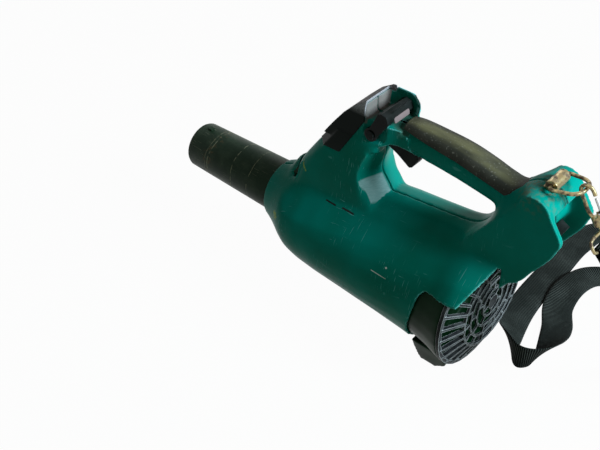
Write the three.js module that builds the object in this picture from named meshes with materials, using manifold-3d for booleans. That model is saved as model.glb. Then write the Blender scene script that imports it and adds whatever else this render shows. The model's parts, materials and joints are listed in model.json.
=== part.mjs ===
// A hand-held cordless leaf blower: a clamshell body with a ducted axial fan, a rear intake grille,
// a short outlet pipe, an empty battery bay and a webbing shoulder strap on a ring and snap hook.
// Lengths are millimetres. The fan axis is y = 0, z = 0 while the pieces are made, and the intake rim
// is x = 0. Air leaves towards -X, +Y is the blower's right side and +Z is up. The last lines raise
// it all onto its rear foot.
import * as THREE from "three";
import { mergeVertices } from "three/addons/utils/BufferGeometryUtils.js";
import Module from "manifold-3d";

const wasm = await Module();
wasm.setup();

// Driving dimensions
const gap = 0.3; // between pieces that touch
const play = 0.06; // radial clearance of a turning shaft
const overrun = 3; // how far a cut runs past what it cuts
const fine = 0.05; // faces that are flat to this are merged
const footCentre = -33; // middle of the rear foot along the fan axis

const coverRear = 34; // how far the cover reaches behind the intake rim
const coverLength = 336;
const coverRadius = 95; // at the rear rim
const footDrop = 8.5; // how far the foot stands below the cover
const axisHeight = coverRadius + footDrop; // fan axis above the ground
const coverWall = 3.6;
const frontWall = 9; // depth of the collar that carries the pipe
const flankHalf = 36; // half the width of the handle frame where it leaves the cover
const keelHalf = 8;

const frameRear = 96;
const frameHeight = 212; // fan axis to the top of the hood
const saddleHalf = 34.5; // half the width of the rear post
const bayWall = 6.5;
const hoodHalf = 24;

const gripHalfWidth = 18.5;
const rubberWall = 2.6;
const bumperDeep = 2;

const pipeLong = 147; // ahead of the cover
const pipeTipRadius = 31.3;
const pipeRootRadius = 35;
const pipeWall = 2.4;
const spigotLong = 49; // how far the pipe reaches into the cover

const ductRadius = 58; // bore at the fan
const ductWall = 2.4;
const fanStation = -66; // middle of the impeller
const podRadius = 27;
const podLong = 110;
const podWall = 2.4;
const shaftRadius = 4;
const bearingRadius = 8;
const bearingWide = 5;

const intakeLong = 62; // depth of the intake housing
const faceRadius = 58.4; // edge of the grille's rear face
const faceStep = 17.5; // how far that face stands behind the rim
const footHalf = 46;

const triggerLong = 45.5;
const triggerHigh = 27.2;
const triggerHalf = 8;

const webWidth = 38;
const webThick = 2;

// Materials
const paint = (color, roughness, metalness = 0) =>
  new THREE.MeshStandardMaterial({ color, roughness, metalness });
const teal = paint(0x0b7f80, 0.42);
const black = paint(0x15181a, 0.5);
const pipeBlack = paint(0x1d2a20, 0.55);
const rubber = paint(0x3a372e, 0.85);
const gloss = paint(0x0a0c0e, 0.2);
const zinc = paint(0xc2a25a, 0.35, 1);
const steel = paint(0x9a9c9e, 0.3, 1);
const copper = paint(0xb0683a, 0.4, 1);
const brassContact = paint(0xc9a86a, 0.35, 1);
const webbing = paint(0x111214, 0.9);
const greyPlastic = paint(0x6a6d6c, 0.6);

const pieces = new THREE.Group();

function solidOf(geometry) {
  const bare = geometry.index ? geometry.toNonIndexed() : geometry.clone();
  bare.deleteAttribute("normal");
  bare.deleteAttribute("uv");
  const merged = mergeVertices(bare, 1e-4);
  const triVerts = new Uint32Array(merged.index.array);
  const vertProperties = new Float32Array(merged.attributes.position.array);
  const made = new wasm.Manifold(new wasm.Mesh({ numProp: 3, vertProperties, triVerts }));
  if (made.volume() > 0) return made;
  for (let i = 0; i < triVerts.length; i += 3) {
    [triVerts[i + 1], triVerts[i + 2]] = [triVerts[i + 2], triVerts[i + 1]];
  }
  return new wasm.Manifold(new wasm.Mesh({ numProp: 3, vertProperties, triVerts }));
}

function geometryOf(solid) {
  const mesh = solid.getMesh();
  const geometry = new THREE.BufferGeometry();
  const points = new Float32Array(mesh.numVert * 3);
  for (let i = 0; i < mesh.numVert; i++) {
    points.set(mesh.vertProperties.subarray(i * mesh.numProp, i * mesh.numProp + 3), i * 3);
  }
  geometry.setAttribute("position", new THREE.BufferAttribute(points, 3));
  geometry.setIndex(new THREE.BufferAttribute(mesh.triVerts, 1));
  geometry.computeVertexNormals();
  return geometry;
}

function add(name, solid, material) {
  const mesh = new THREE.Mesh(geometryOf(solid.simplify(fine)), material);
  mesh.name = name;
  pieces.add(mesh);
}

const join = (...solids) => solids.reduce((a, b) => a.add(b));
const cut = (solid, ...tools) => tools.reduce((a, b) => a.subtract(b), solid);
const common = (a, b) => a.intersect(b);
const largest = (solid) => solid.decompose().sort((a, b) => b.volume() - a.volume())[0];

// Shape builders

const pathOf = (points) => new THREE.Shape(points.map(([a, b]) => new THREE.Vector2(a, b)));
const around = (count, make) => Array.from({ length: count }, (_, i) => make((2 * Math.PI * i) / count));
const grow = ([a, b], by) => [a - by, b + by];
const middleOf = ([a, b]) => (a + b) / 2;
const mirrored = (half) => [...half, ...half.map(([a, b]) => [-a, b]).reverse()];
const turnedBy = (solid, angle) => solid.rotate([THREE.MathUtils.radToDeg(angle), 0, 0]);

// An outline in x and z, as thick as y runs from y0 to y1.
function sidePlate(points, y0, y1) {
  const geometry = new THREE.ExtrudeGeometry(pathOf(points), { depth: y1 - y0, bevelEnabled: false });
  geometry.rotateX(Math.PI / 2);
  geometry.translate(0, y1, 0);
  return solidOf(geometry);
}

// An outline in y and z, as thick as x runs from x0 to x1.
function crossPlate(points, x0, x1) {
  const turned = points.map(([y, z]) => [-z, y]);
  const geometry = new THREE.ExtrudeGeometry(pathOf(turned), { depth: x1 - x0, bevelEnabled: false });
  geometry.rotateY(Math.PI / 2);
  geometry.translate(x0, 0, 0);
  return solidOf(geometry);
}

// A profile of [x, radius] turned about the fan axis. It closes on itself or starts and ends at radius 0.
function revolve(profile, sides) {
  const points = profile.map(([x, r]) => new THREE.Vector2(r, x));
  const geometry = new THREE.LatheGeometry(points, sides);
  geometry.rotateZ(-Math.PI / 2);
  return solidOf(geometry);
}

// A wall between an outer and an inner profile of [x, radius].
const shell = (outer, inner, sides) => revolve([...outer, ...[...inner].reverse(), outer[0]], sides);
const ringPart = ([x0, x1], inner, outer, sides) =>
  shell([[x0, outer], [x1, outer]], [[x0, inner], [x1, inner]], sides);

function rod(axis, radius, [from, to], [u, v] = [0, 0], sides = 20) {
  const geometry = new THREE.CylinderGeometry(radius, radius, to - from, sides);
  geometry.translate(0, (from + to) / 2, 0);
  if (axis === "x") geometry.rotateZ(-Math.PI / 2).translate(0, u, v);
  if (axis === "y") geometry.translate(u, 0, v);
  if (axis === "z") geometry.rotateX(Math.PI / 2).translate(u, v, 0);
  return solidOf(geometry);
}

function block([x0, x1], [y0, y1], [z0, z1]) {
  const geometry = new THREE.BoxGeometry(x1 - x0, y1 - y0, z1 - z0);
  geometry.translate((x0 + x1) / 2, (y0 + y1) / 2, (z0 + z1) / 2);
  return solidOf(geometry);
}

// Rings of points with equal counts, skinned in order. Open ends are capped.
function skin(rings, loops = false) {
  const count = rings[0].length;
  const positions = rings.flat().flatMap((p) => [p.x, p.y, p.z]);
  const index = [];
  const last = loops ? rings.length : rings.length - 1;
  for (let i = 0; i < last; i++) {
    const next = ((i + 1) % rings.length) * count;
    for (let j = 0; j < count; j++) {
      const k = (j + 1) % count;
      index.push(i * count + j, i * count + k, next + j, i * count + k, next + k, next + j);
    }
  }
  if (!loops) {
    [0, rings.length - 1].forEach((ring, end) => {
      const middle = rings[ring].reduce((s, p) => s.add(p), new THREE.Vector3()).divideScalar(count);
      const centre = positions.length / 3;
      positions.push(middle.x, middle.y, middle.z);
      for (let j = 0; j < count; j++) {
        const k = (j + 1) % count;
        const pair = end ? [ring * count + j, ring * count + k] : [ring * count + k, ring * count + j];
        index.push(centre, ...pair);
      }
    });
  }
  const geometry = new THREE.BufferGeometry();
  geometry.setAttribute("position", new THREE.Float32BufferAttribute(positions, 3));
  geometry.setIndex(index);
  return solidOf(geometry);
}

// A round bar along points, smoothed.
function bar(points, radius, sides, steps) {
  const curve = new THREE.CatmullRomCurve3(points.map((p) => new THREE.Vector3(...p)));
  const section = new THREE.Shape();
  for (let i = 0; i < sides; i++) {
    const turn = (2 * Math.PI * i) / sides;
    const place = [radius * Math.cos(turn), radius * Math.sin(turn)];
    if (i) section.lineTo(...place);
    else section.moveTo(...place);
  }
  return solidOf(new THREE.ExtrudeGeometry(section, { steps, extrudePath: curve, bevelEnabled: false }));
}

// A closed ring of round wire that lies in the plane square to `normal`.
function wireRing(points, radius, normal, sides, steps) {
  const curve = new THREE.CatmullRomCurve3(points.map((p) => new THREE.Vector3(...p)), true, "centripetal");
  const rings = [];
  for (let i = 0; i < steps; i++) {
    const centre = curve.getPointAt(i / steps);
    const across = new THREE.Vector3().crossVectors(curve.getTangentAt(i / steps), normal).normalize();
    rings.push(around(sides, (turn) => {
      const spoke = across.clone().multiplyScalar(radius * Math.cos(turn));
      return centre.clone().add(spoke).addScaledVector(normal, radius * Math.sin(turn));
    }));
  }
  return skin(rings, true);
}

// Two readings of rows of [position, value]: straight between rows, and eased.
function lineAt(rows, x) {
  const i = Math.min(rows.length - 1, Math.max(1, rows.findIndex((row) => row[0] >= x)));
  const [x0, y0] = rows[i - 1];
  const [x1, y1] = rows[i];
  return THREE.MathUtils.lerp(y0, y1, THREE.MathUtils.clamp((x - x0) / (x1 - x0), 0, 1));
}

function easedAt(rows, x) {
  if (x >= rows[rows.length - 1][0]) return rows[rows.length - 1][1];
  const i = Math.max(1, rows.findIndex((row) => row[0] >= x));
  const [x0, y0] = rows[i - 1];
  const [x1, y1] = rows[i];
  if (x <= x0) return y0;
  const slope = (a, b) => (b[1] - a[1]) / (b[0] - a[0]);
  const here = slope(rows[i - 1], rows[i]);
  const before = i > 1 ? (slope(rows[i - 2], rows[i - 1]) + here) / 2 : here;
  const after = i < rows.length - 1 ? (slope(rows[i], rows[i + 1]) + here) / 2 : here;
  const span = x1 - x0;
  const t = (x - x0) / span;
  const t2 = t * t;
  const t3 = t2 * t;
  return (2 * t3 - 3 * t2 + 1) * y0 + (t3 - 2 * t2 + t) * span * before
    + (3 * t2 - 2 * t3) * y1 + (t3 - t2) * span * after;
}

// Rows of [position, values], with an eased row set between each pair, so that a loft bends smoothly.
function refined(rows) {
  return rows.flatMap((row, i) => {
    if (i + 1 === rows.length) return [row];
    const middle = (row[0] + rows[i + 1][0]) / 2;
    return [row, [middle, ...row.slice(1).map((_, k) => easedAt(rows.map((r) => [r[0], r[k + 1]]), middle))]];
  });
}

// Places on the handle frame are shares of its length and height.
const coverFront = coverRear - coverLength;
const frameStartShare = 0.119; // of the cover, where the front post begins
const frameFront = coverFront + coverLength * frameStartShare;
const frameX = (share) => THREE.MathUtils.lerp(frameFront, frameRear, share);
const frameZ = (share) => frameHeight * share;
const atFrame = ([a, b]) => [frameX(a), frameZ(b)];

// Teal cover round the duct. Its radius grows from the nose to the rear rim.
const noseLip = 1.1;
const noseRadius = pipeRootRadius + gap + coverWall + noseLip;
const coverRadiusShares = [
  [0, 0], [0.05, 0.136], [0.15, 0.473], [0.27, 0.582], [0.72, 0.745], [0.83, 0.847], [0.9, 0.969], [1, 1],
];
const coverX = (share) => coverFront + coverLength * share;
const coverShareOf = (x) => (x - coverFront) / coverLength;
const coverR = (x) =>
  THREE.MathUtils.lerp(noseRadius, coverRadius, easedAt(coverRadiusShares, coverShareOf(x)));
const facetShares = [0.03, 0.15]; // where the shoulder facets begin and where they are full
const facetTurns = [0.31, 1.053]; // angle of the shoulder crease where they are full and at the rear
const creaseTurn = 0.03; // least angle between two creases
const coverStationShares = [
  0, 0.03, 0.055, 0.08, 0.11, 0.15, 0.21, 0.3, 0.5, 0.72, 0.78, 0.83, 0.87, 0.91, 1,
];

// The section at x, less a wall: round from below to the shoulder crease, straight to the flank crease
// and flat between the flanks.
function coverSection(x, wall = 0, at = x) {
  const radius = coverR(x);
  const full = THREE.MathUtils.smoothstep(coverShareOf(x), ...facetShares);
  const climb = (coverShareOf(x) - facetShares[1]) / (1 - facetShares[1]);
  const top = Math.PI / 2 - creaseTurn;
  const flank = THREE.MathUtils.lerp(top, Math.acos(flankHalf / Math.max(radius, flankHalf)), full);
  const climbed = THREE.MathUtils.lerp(...facetTurns, climb);
  const shoulder = Math.min(THREE.MathUtils.lerp(top, climbed, full), flank - creaseTurn);
  const nearest = radius * Math.min(Math.sin(flank), Math.cos((flank - shoulder) / 2));
  const scale = 1 - wall / nearest;
  const arcSteps = 11;
  const half = [];
  for (let i = 0; i <= arcSteps; i++) {
    const turn = THREE.MathUtils.lerp(-Math.PI / 2, shoulder, i / arcSteps);
    half.push([radius * Math.cos(turn) * scale, radius * Math.sin(turn) * scale]);
  }
  half.push([radius * Math.cos(flank) * scale, radius * Math.sin(flank) * scale]);
  const left = half.slice(1).map(([y, z]) => [-y, z]).reverse();
  return [...half, ...left].map(([y, z]) => new THREE.Vector3(at, y, z));
}

const coverAt = (wall) => skin(coverStationShares.map((share) => coverSection(coverX(share), wall)));
const coverBody = coverAt(0);
const midWall = coverAt(coverWall / 2); // what stands inside the cover ends in the middle of its wall
const hollowRows = coverStationShares.map(coverX).filter((x) => x > coverFront + frontWall && x < coverRear);
const coverHollow = skin([
  coverSection(coverFront + frontWall, coverWall),
  ...hollowRows.map((x) => coverSection(x, coverWall)),
  coverSection(coverRear, coverWall),
  coverSection(coverRear, coverWall, coverRear + overrun),
]);

// The rear of the cover is cut away round the intake: shares of the intake's depth and the cover's radius.
const notchShares = [
  [0.55, 1.158], [0.55, 0.906], [0.244, 0.473], [-0.466, 0.422], [-0.565, 0.317], [-0.645, 0.02],
  [-0.744, -0.263], [-0.969, -1.263], [1.45, -1.263], [1.45, 1.158],
];
const notch = sidePlate(
  notchShares.map(([a, b]) => [intakeLong * a, coverRadius * b]),
  -coverRadius - overrun,
  coverRadius + overrun,
);

// Keel under the cover, where the blower's front stands
const keelShares = [[0.155, 0.61], [0.2, 1], [0.29, 1], [0.335, 0.61]];
const keel = sidePlate(keelShares.map(([a, b]) => [frameX(a), -axisHeight * b]), -keelHalf, keelHalf);

// Two slots a side let cooling air out below the flank crease.
const slotPlaceShares = [[0.33, 0.388], [0.405, 0.457]];
const ventHigh = 2.4;
const ventDrop = 3.4; // from the flank crease to the slot's middle
const ventSlots = slotPlaceShares.flatMap((shares) => {
  const span = shares.map(coverX);
  const radius = coverR(middleOf(span));
  const z = Math.sqrt(radius * radius - flankHalf * flankHalf) - ventDrop;
  const spanZ = grow([z, z], ventHigh / 2);
  return [block(span, [flankHalf - overrun, radius], spanZ), block(span, [-radius, overrun - flankHalf], spanZ)];
});

// Handle frame: front post, hood, floor of the hand opening, grip and rear post

const frontPostShares = [
  // height, front edge, seam, side edge, half width
  [0.26, 0, 0.36, 0.31, 1], [0.33, 0.012, 0.36, 0.31, 1], [0.42, 0.034, 0.36, 0.307, 1],
  [0.5, 0.064, 0.324, 0.29, 0.97], [0.566, 0.09, 0.321, 0.293, 0.94], [0.656, 0.127, 0.335, 0.313, 0.88],
  [0.74, 0.158, 0.341, 0.33, 0.8],
];
const noseShare = 0.62; // width of the post's front face
const postCorner = 13;
const seamHalf = 1.5;

function frontPost(inset) {
  return skin(refined(frontPostShares).map(([height, front, seam, side, width]) => {
    const w = flankHalf * width - inset;
    const x = frameX(front) + inset;
    const corner = Math.min(frameX(side), x + postCorner);
    const half = [[x, w * noseShare], [corner, w], [frameX(side), w], [frameX(seam), seamHalf]];
    const back = half.map(([a, b]) => [a, -b]).reverse();
    return [...half, ...back].map(([a, b]) => new THREE.Vector3(a, b, frameZ(height)));
  }));
}

const hoodShares = [
  [0.134, 0.679], [0.17, 0.769], [0.207, 0.854], [0.251, 0.929], [0.299, 0.986], [0.338, 1], [0.374, 0.995],
  [0.402, 0.962], [0.433, 0.896], [0.441, 0.778], [0.458, 0.736], [0.341, 0.736], [0.341, 0.679],
];
const hoodTaperShares = [[1.2, 0.6], [1.15, 0.74], [1.07, 0.83], [1, 0.93], [0.88, 0.985], [0.72, 1.01]];
const hoodRearShare = 0.6;

function hood(inset) {
  // The front run of the outline moves in along X and the top run along Z.
  const side = hoodShares.map(atFrame).map(([x, z], i) =>
    [i < 5 ? x + inset : x, i > 2 && i < 9 ? z - inset : z]);
  const half = hoodTaperShares.map(([a, b]) => [hoodHalf * a - inset, frameZ(b)]);
  return common(
    sidePlate(side, -flankHalf, flankHalf),
    crossPlate(mirrored(half), frameFront - overrun, frameX(hoodRearShare)),
  );
}

// The floor of the hand opening is crowned, and it sweeps up into the rear post.
const floorShares = [
  // place, height of the crown, how much of the crown's drop is left
  [0.355, 0.398, 1], [0.411, 0.413, 1], [0.62, 0.449, 1], [0.66, 0.462, 0.95], [0.69, 0.483, 0.8],
  [0.712, 0.515, 0.6], [0.73, 0.56, 0.35],
];
const floorBaseShare = 0.259;
const crownDrop = 17;
const crownShares = [[1, 1], [0.86, 0.64], [0.5, 0.2]]; // half width and drop
const floorBar = skin(refined(floorShares).map(([place, height, left]) => {
  const half = [[1, null], ...crownShares].map(([across, drop]) =>
    [flankHalf * across, drop === null ? frameZ(floorBaseShare) : frameZ(height) - crownDrop * left * drop]);
  const ring = [...half, [0, frameZ(height)], ...half.map(([y, z]) => [-y, z]).reverse()];
  return ring.map(([y, z]) => new THREE.Vector3(frameX(place), y, z));
}));

const rearPostShares = [
  // height, middle of the front face, side edge, rear edge
  [0.27, 0.64, 0.66, 0.84], [0.335, 0.66, 0.675, 0.865], [0.36, 0.665, 0.68, 0.888],
  [0.46, 0.682, 0.694, 0.925], [0.53, 0.72, 0.722, 0.951], [0.61, 0.748, 0.755, 0.979],
  [0.665, 0.755, 0.78, 0.99], [0.715, 0.75, 0.803, 1], [0.78, 0.765, 0.832, 0.977],
  [0.84, 0.815, 0.852, 0.953], [0.895, 0.852, 0.864, 0.93], [0.91, 0.88, 0.885, 0.905],
];
const postMiddle = 12;
const rearPost = skin(refined(rearPostShares).map(([height, front, side, rear]) => {
  const half = [[frameX(front), postMiddle], [frameX(side), saddleHalf], [frameX(rear), saddleHalf]];
  const back = half.map(([x, y]) => [x, -y]).reverse();
  return [...half, ...back].map(([x, y]) => new THREE.Vector3(x, y, frameZ(height)));
}));

// The grip is an oval that narrows under the palm.
const gripShares = [
  // place, top, bottom, half width
  [0.413, 0.905, 0.745, 0.86], [0.45, 0.912, 0.722, 0.94], [0.53, 0.908, 0.722, 1], [0.62, 0.9, 0.706, 1],
  [0.7, 0.875, 0.685, 0.98], [0.76, 0.848, 0.668, 0.97], [0.8, 0.838, 0.66, 1], [0.83, 0.855, 0.66, 1.1],
  [0.85, 0.88, 0.66, 1.2],
];
const gripPower = 0.72; // 1 gives an ellipse and less a squarer section

function grip(inset) {
  const powered = (value) => Math.sign(value) * Math.abs(value) ** gripPower;
  const offset = Math.PI / 18;
  return skin(gripShares.map(([place, top, bottom, width]) => {
    const halfHeight = frameZ((top - bottom) / 2) - inset;
    const halfWidth = gripHalfWidth * width - inset;
    return around(18, (turn) => new THREE.Vector3(
      frameX(place),
      halfWidth * powered(Math.cos(turn + offset)),
      frameZ((top + bottom) / 2) + halfHeight * powered(Math.sin(turn + offset)),
    ));
  }));
}

const rubberShares = [
  [0.391, 0.882], [0.612, 0.84], [0.807, 0.769], [0.855, 0.906], [0.855, 1.061], [0.391, 1.061],
];
const rubberSide = (spread) =>
  sidePlate(
    rubberShares.map(atFrame).map(([x, z], i) =>
      [x + (i > 1 && i < 5 ? spread : -spread), i < 3 ? z - spread : z]),
    -flankHalf,
    flankHalf,
  );
add("grip_cover", common(cut(grip(0), grip(rubberWall)), rubberSide(0)), rubber);
const rubberSeat = common(cut(grip(-gap), grip(rubberWall + gap)), rubberSide(gap));

// Lever pocket behind the hood, open above and on the left side. It is laid out round the lever's pin.
const leverPlaceShares = [0.3184, 0.7995];
const [leverX, leverZ] = atFrame(leverPlaceShares);
const bossRadius = 8.5;
const leverThick = 6;
const leverInset = 8; // from the flank of the frame to the lever's outer face
const leverFace = -flankHalf + leverInset;
const pocketAhead = 11;
const pocketBehind = 35;
const pocketRise = 14.5;
const pocketFar = 19.5; // its right wall
const pocketFront = leverX - pocketAhead;
const pocketRear = leverX + pocketBehind;
const swing = 1.2; // clearance round the lever as it turns
const pocketLow = leverZ - bossRadius - swing / 2;
const pocket = join(
  block([pocketFront, pocketRear], [-flankHalf, pocketFar], [leverZ + pocketRise, frameHeight + overrun]),
  block(
    [pocketFront, leverX + 2 * bossRadius + swing],
    [-flankHalf, leverFace + leverThick + swing / 2],
    [pocketLow, frameHeight],
  ),
);

// Bumper inlay on the front of the handle. It stops short of the pocket.
const bumperShares = [[0.03, 0.604], [0.209, 0.613], [0.313, 0.929], [0.313, 1.061], [0.03, 1.061]];
const bumperSide = (spread) =>
  sidePlate(
    bumperShares.map(atFrame).map(([x, z], i) => [i > 0 && i < 4 ? x + spread : x, i < 2 ? z - spread : z]),
    -flankHalf - overrun,
    flankHalf + overrun,
  );
const head = (inset) => join(frontPost(inset), hood(inset));
const leverGap = block(
  [pocketFront - gap, pocketRear],
  [-flankHalf - overrun, pocketFar + gap],
  [pocketLow - gap, frameHeight + overrun],
);
add("bumper_trim", largest(cut(common(cut(head(0), head(bumperDeep)), bumperSide(0)), leverGap)), gloss);
const bumperSeat = common(cut(head(-overrun), head(bumperDeep + gap)), bumperSide(gap));

// Battery bay in the rear post, on a slanted floor
const bayHalf = saddleHalf - bayWall;
const bayShares = [
  [0.847, 0.429], [0.933, 0.689], [0.922, 0.769], [0.955, 0.83], [1.151, 0.83], [1.151, 0.146], [0.994, 0.292],
];
const bay = sidePlate(bayShares.map(atFrame), -bayHalf, bayHalf);

// Bayonet slot for the pipe's lug, on the top of the nose
const slotBack = 41; // from the nose to the slot's middle
const slotX = coverFront + slotBack;
const slotHalf = 4.2;
const slotTurns = [1.17, 1.99]; // about the fan axis, from +Y
const slotShy = 2; // the slot stops this far above the pipe
function sector([from, to], x0, x1, inner, outer) {
  const steps = 8;
  const turns = Array.from({ length: steps + 1 }, (_, i) => THREE.MathUtils.lerp(from, to, i / steps));
  const arc = (r, list) => list.map((t) => [r * Math.cos(t), r * Math.sin(t)]);
  return crossPlate([...arc(inner, turns), ...arc(outer, [...turns].reverse())], x0, x1);
}
const bayonetSlot = sector(slotTurns, slotX - slotHalf, slotX + slotHalf, pipeRootRadius + slotShy, coverRadius);

// Pockets that the two halves share round the works, laid out from the trigger's pin
const triggerPinShares = [0.352, 0.743];
const triggerPin = atFrame(triggerPinShares);
const [triggerPinX, triggerPinZ] = triggerPin;
const pinRadius = 2;
const pinHalf = 13;
const triggerShares = [
  [-0.133, -0.202], [-0.039, 0.094], [0.158, 0.094], [0.835, -0.007], [0.866, -0.42], [0.724, -0.826],
  [0.638, -0.904], [0.259, -0.5],
];
const wellAhead = 8;
const wellBehind = 3.3;
const switchAhead = 8; // from the pin to the switch
const switchLong = 24;
const switchHalf = 9;
const switchRise = 8.5;
const switchHigh = 16;
const switchX = [triggerPinX + switchAhead, triggerPinX + switchAhead + switchLong];
const switchZ = [triggerPinZ + switchRise, triggerPinZ + switchRise + switchHigh];
const triggerWell = block(
  [triggerPinX - wellAhead, triggerPinX + triggerLong - wellAhead + wellBehind],
  grow([-triggerHalf, triggerHalf], gap),
  [triggerPinZ - triggerHigh - wellBehind, switchZ[0] - gap],
);
const switchWell = block(
  grow(switchX, gap),
  grow([-switchHalf, switchHalf], gap),
  [switchZ[0] - 2 * gap, switchZ[1] + gap],
);
const triggerPinHole = rod("y", pinRadius + gap, grow([-pinHalf, pinHalf], gap), triggerPin);

const controllerShares = [[0.7765, 0.8436], [0.5, 0.651]];
const controllerHalf = 24;
const controllerBox = [
  controllerShares[0].map(frameX), [-controllerHalf, controllerHalf], controllerShares[1].map(frameZ),
];
const controllerWell = block(...controllerBox.map((span) => grow(span, gap)));

const leverPinRadius = 3;
const leverPinDeep = 9;
const leverPinSpan = [leverFace - gap, leverFace + leverThick + leverPinDeep];
const leverPinHole = rod("y", leverPinRadius + gap, grow(leverPinSpan, gap), [leverX, leverZ]);

// Duct. Its bore opens from the pipe to the fan, and flares behind it.
const ductFront = coverFront + spigotLong;
const ductRear = -65.2;
const ductSides = 24; // the duct and what goes round it have the same facets
const ductShares = [
  [0, 0], [0.027, 0.034], [0.135, 0.227], [0.27, 0.614], [0.432, 0.909], [0.54, 1], [0.892, 1], [0.959, 1.068],
  [1, 1.227],
];
const pipeBore = pipeRootRadius - pipeWall;
const ductX = (share) => THREE.MathUtils.lerp(ductFront, ductRear, share);
const ductShareOf = (x) => (x - ductFront) / (ductRear - ductFront);
const ductR = (x) => THREE.MathUtils.lerp(pipeBore, ductRadius, lineAt(ductShares, ductShareOf(x)));
const ductInner = ductShares.map(([share]) => [ductX(share), ductR(ductX(share))]);
const ductOuter = ductInner.map(([x, r]) => [x, r + ductWall]);

// Two ribs in the cover hold the duct.
const ribShares = [0.145, 0.576]; // along the duct
const ribWidth = 3;
const ribs = ribShares.map(ductX).map((x) => {
  const span = [x, x + ribWidth];
  const inner = span.map((at) => [at, ductR(at) + ductWall + gap]);
  const rib = shell(span.map((at) => [at, coverR(at)]), inner, ductSides);
  return common(rib, midWall);
});

// Intake housing's outside. The cover and the frame are bored for it.
const seatGap = 0.5;
const rimWide = 5;
const intakeSides = 32;
const rimRadius = coverR(0) - coverWall - seatGap;
const rimLip = 4; // length of the flared rim
const lipProud = 3;
const intakeStationShares = [1, 0.65, 0.4, 0.13];
const intakeWall = 3.2;
const intakeR = (x) => Math.min(rimRadius - lipProud / 2, coverR(x) - coverWall - seatGap);
const intakeOuter = [
  ...intakeStationShares.map((share) => [-intakeLong * share, intakeR(-intakeLong * share)]),
  [-rimLip, rimRadius - seatGap],
  [0, rimRadius],
];
const intakeSeat = revolve([
  [-intakeLong - gap, 0],
  ...intakeOuter.map(([x, r], i) => [i ? x : x - gap, r + gap]),
  [coverRear + overrun, coverRadius - coverWall],
  [coverRear + overrun, 0],
], intakeSides);

// Hanger on top of the rear post
const hangerShares = [0.9106, 0.9316];
const [hangerX, hangerZ] = hangerShares.map((share, i) => (i ? frameZ(share) : frameX(share)));
const hangerRadius = 7;
const hangerHalf = 13;
const plateAhead = 15;
const plateBehind = 2;
const plateThick = 1.6;
const hangerSeat = rod("y", hangerRadius + gap, grow([-hangerHalf, hangerHalf], 2 * gap), [hangerX, hangerZ]);

// Six screws enter from the right and bite in the left half. Two of them run through bosses under the duct.
const screwShares = [[0.131, 0.448], [0.229, 0.519], [0.866, 0.802], [0.79, 0.69]];
const lowScrewShares = [0.075, 0.453];
const bossThick = 5;
const bossGap = 2; // between a boss and the duct
const lowPlaces = lowScrewShares.map(frameX).map((x) => [x, -ductR(x) - ductWall - bossGap - bossThick]);
const screwPlaces = [...screwShares.map(atFrame), ...lowPlaces];
const screwHeadRadius = 3.6;
const screwHeadHigh = 2.6;
const screwRadius = 1.9;
const screwSeat = 10; // where the head seats, to the right of the split
const screwLong = 20;
const screwBosses = lowPlaces.map((place) =>
  common(rod("y", bossThick, [-coverRadius, coverRadius], place, 16), midWall));
const screwHoles = screwPlaces.map((place) =>
  join(
    rod("y", screwHeadRadius + gap, [screwSeat, coverRadius], place, 12),
    rod("y", screwRadius + gap, [screwSeat - screwLong - gap, screwSeat + overrun], place, 8),
  ));
screwPlaces.forEach((place, i) =>
  add(
    `housing_screw_${i + 1}`,
    join(
      rod("y", screwHeadRadius, [screwSeat + gap, screwSeat + gap + screwHeadHigh], place, 12),
      rod("y", screwRadius, [screwSeat - screwLong, screwSeat + gap + screwHeadHigh / 2], place, 8),
    ),
    steel,
  ));

// The clamshell: hollow and seats are cut, then the split along the middle
const coverSolid = cut(join(coverBody, keel), coverHollow, intakeSeat, notch);
const frameSolid = cut(join(head(0), floorBar, rearPost), coverHollow, intakeSeat);
const collarBore = grow([coverFront, coverFront + frontWall], overrun);
const noseBore = rod("x", pipeRootRadius + gap, collarBore, [0, 0], 32);
const shellSolid = cut(
  join(cut(join(coverSolid, frameSolid), bumperSeat, pocket), grip(0), ...ribs, ...screwBosses),
  rubberSeat, bay, bayonetSlot, noseBore, triggerWell, switchWell, controllerWell, hangerSeat, triggerPinHole,
  leverPinHole, ...ventSlots, ...screwHoles,
);
const halfSpace = (y0, y1) =>
  block(grow([coverFront, frameRear], overrun), [y0, y1], grow([-axisHeight, frameHeight], overrun));
add("housing_left", largest(common(shellSolid, halfSpace(-coverRadius - overrun, -gap / 2))), teal);
add("housing_right", largest(common(shellSolid, halfSpace(gap / 2, coverRadius + overrun))), teal);

// Outlet pipe with its collar, its bayonet lug and two tip lugs
const pipeTip = coverFront - pipeLong;
const collarFront = coverFront + frontWall + gap;
const collarThick = 4;
const collarRadius = pipeRootRadius + coverWall - gap;
const tipRound = 2.5;
const spigotEnd = ductFront - gap;
const pipeOuter = [
  [pipeTip, pipeTipRadius - tipRound / 2], [pipeTip + tipRound, pipeTipRadius], [coverFront, pipeRootRadius],
  [collarFront, pipeRootRadius], [collarFront, collarRadius], [collarFront + collarThick, collarRadius],
  [collarFront + collarThick, pipeRootRadius], [spigotEnd, pipeRootRadius],
];
const pipeInner = [[pipeTip, pipeTipRadius - pipeWall], [coverFront, pipeBore], [spigotEnd, pipeBore]];
const lugHalf = 3.4;
const lugTurns = [1.76, 1.95];
const lugProud = 1.2; // of the cover
const tipLugBack = 14;
const tipLugLong = 6;
const tipLugHalf = 3;
const tipLugHigh = 3;
const lugRadii = [pipeRootRadius - pipeWall / 2, coverR(slotX) + lugProud];
const pipeLug = sector(lugTurns, slotX - lugHalf, slotX + lugHalf, ...lugRadii);
const tipLug = block(
  [pipeTip + tipLugBack, pipeTip + tipLugBack + tipLugLong],
  [-tipLugHalf, tipLugHalf],
  [pipeTipRadius - pipeWall / 2, pipeTipRadius + tipLugHigh],
);
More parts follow.
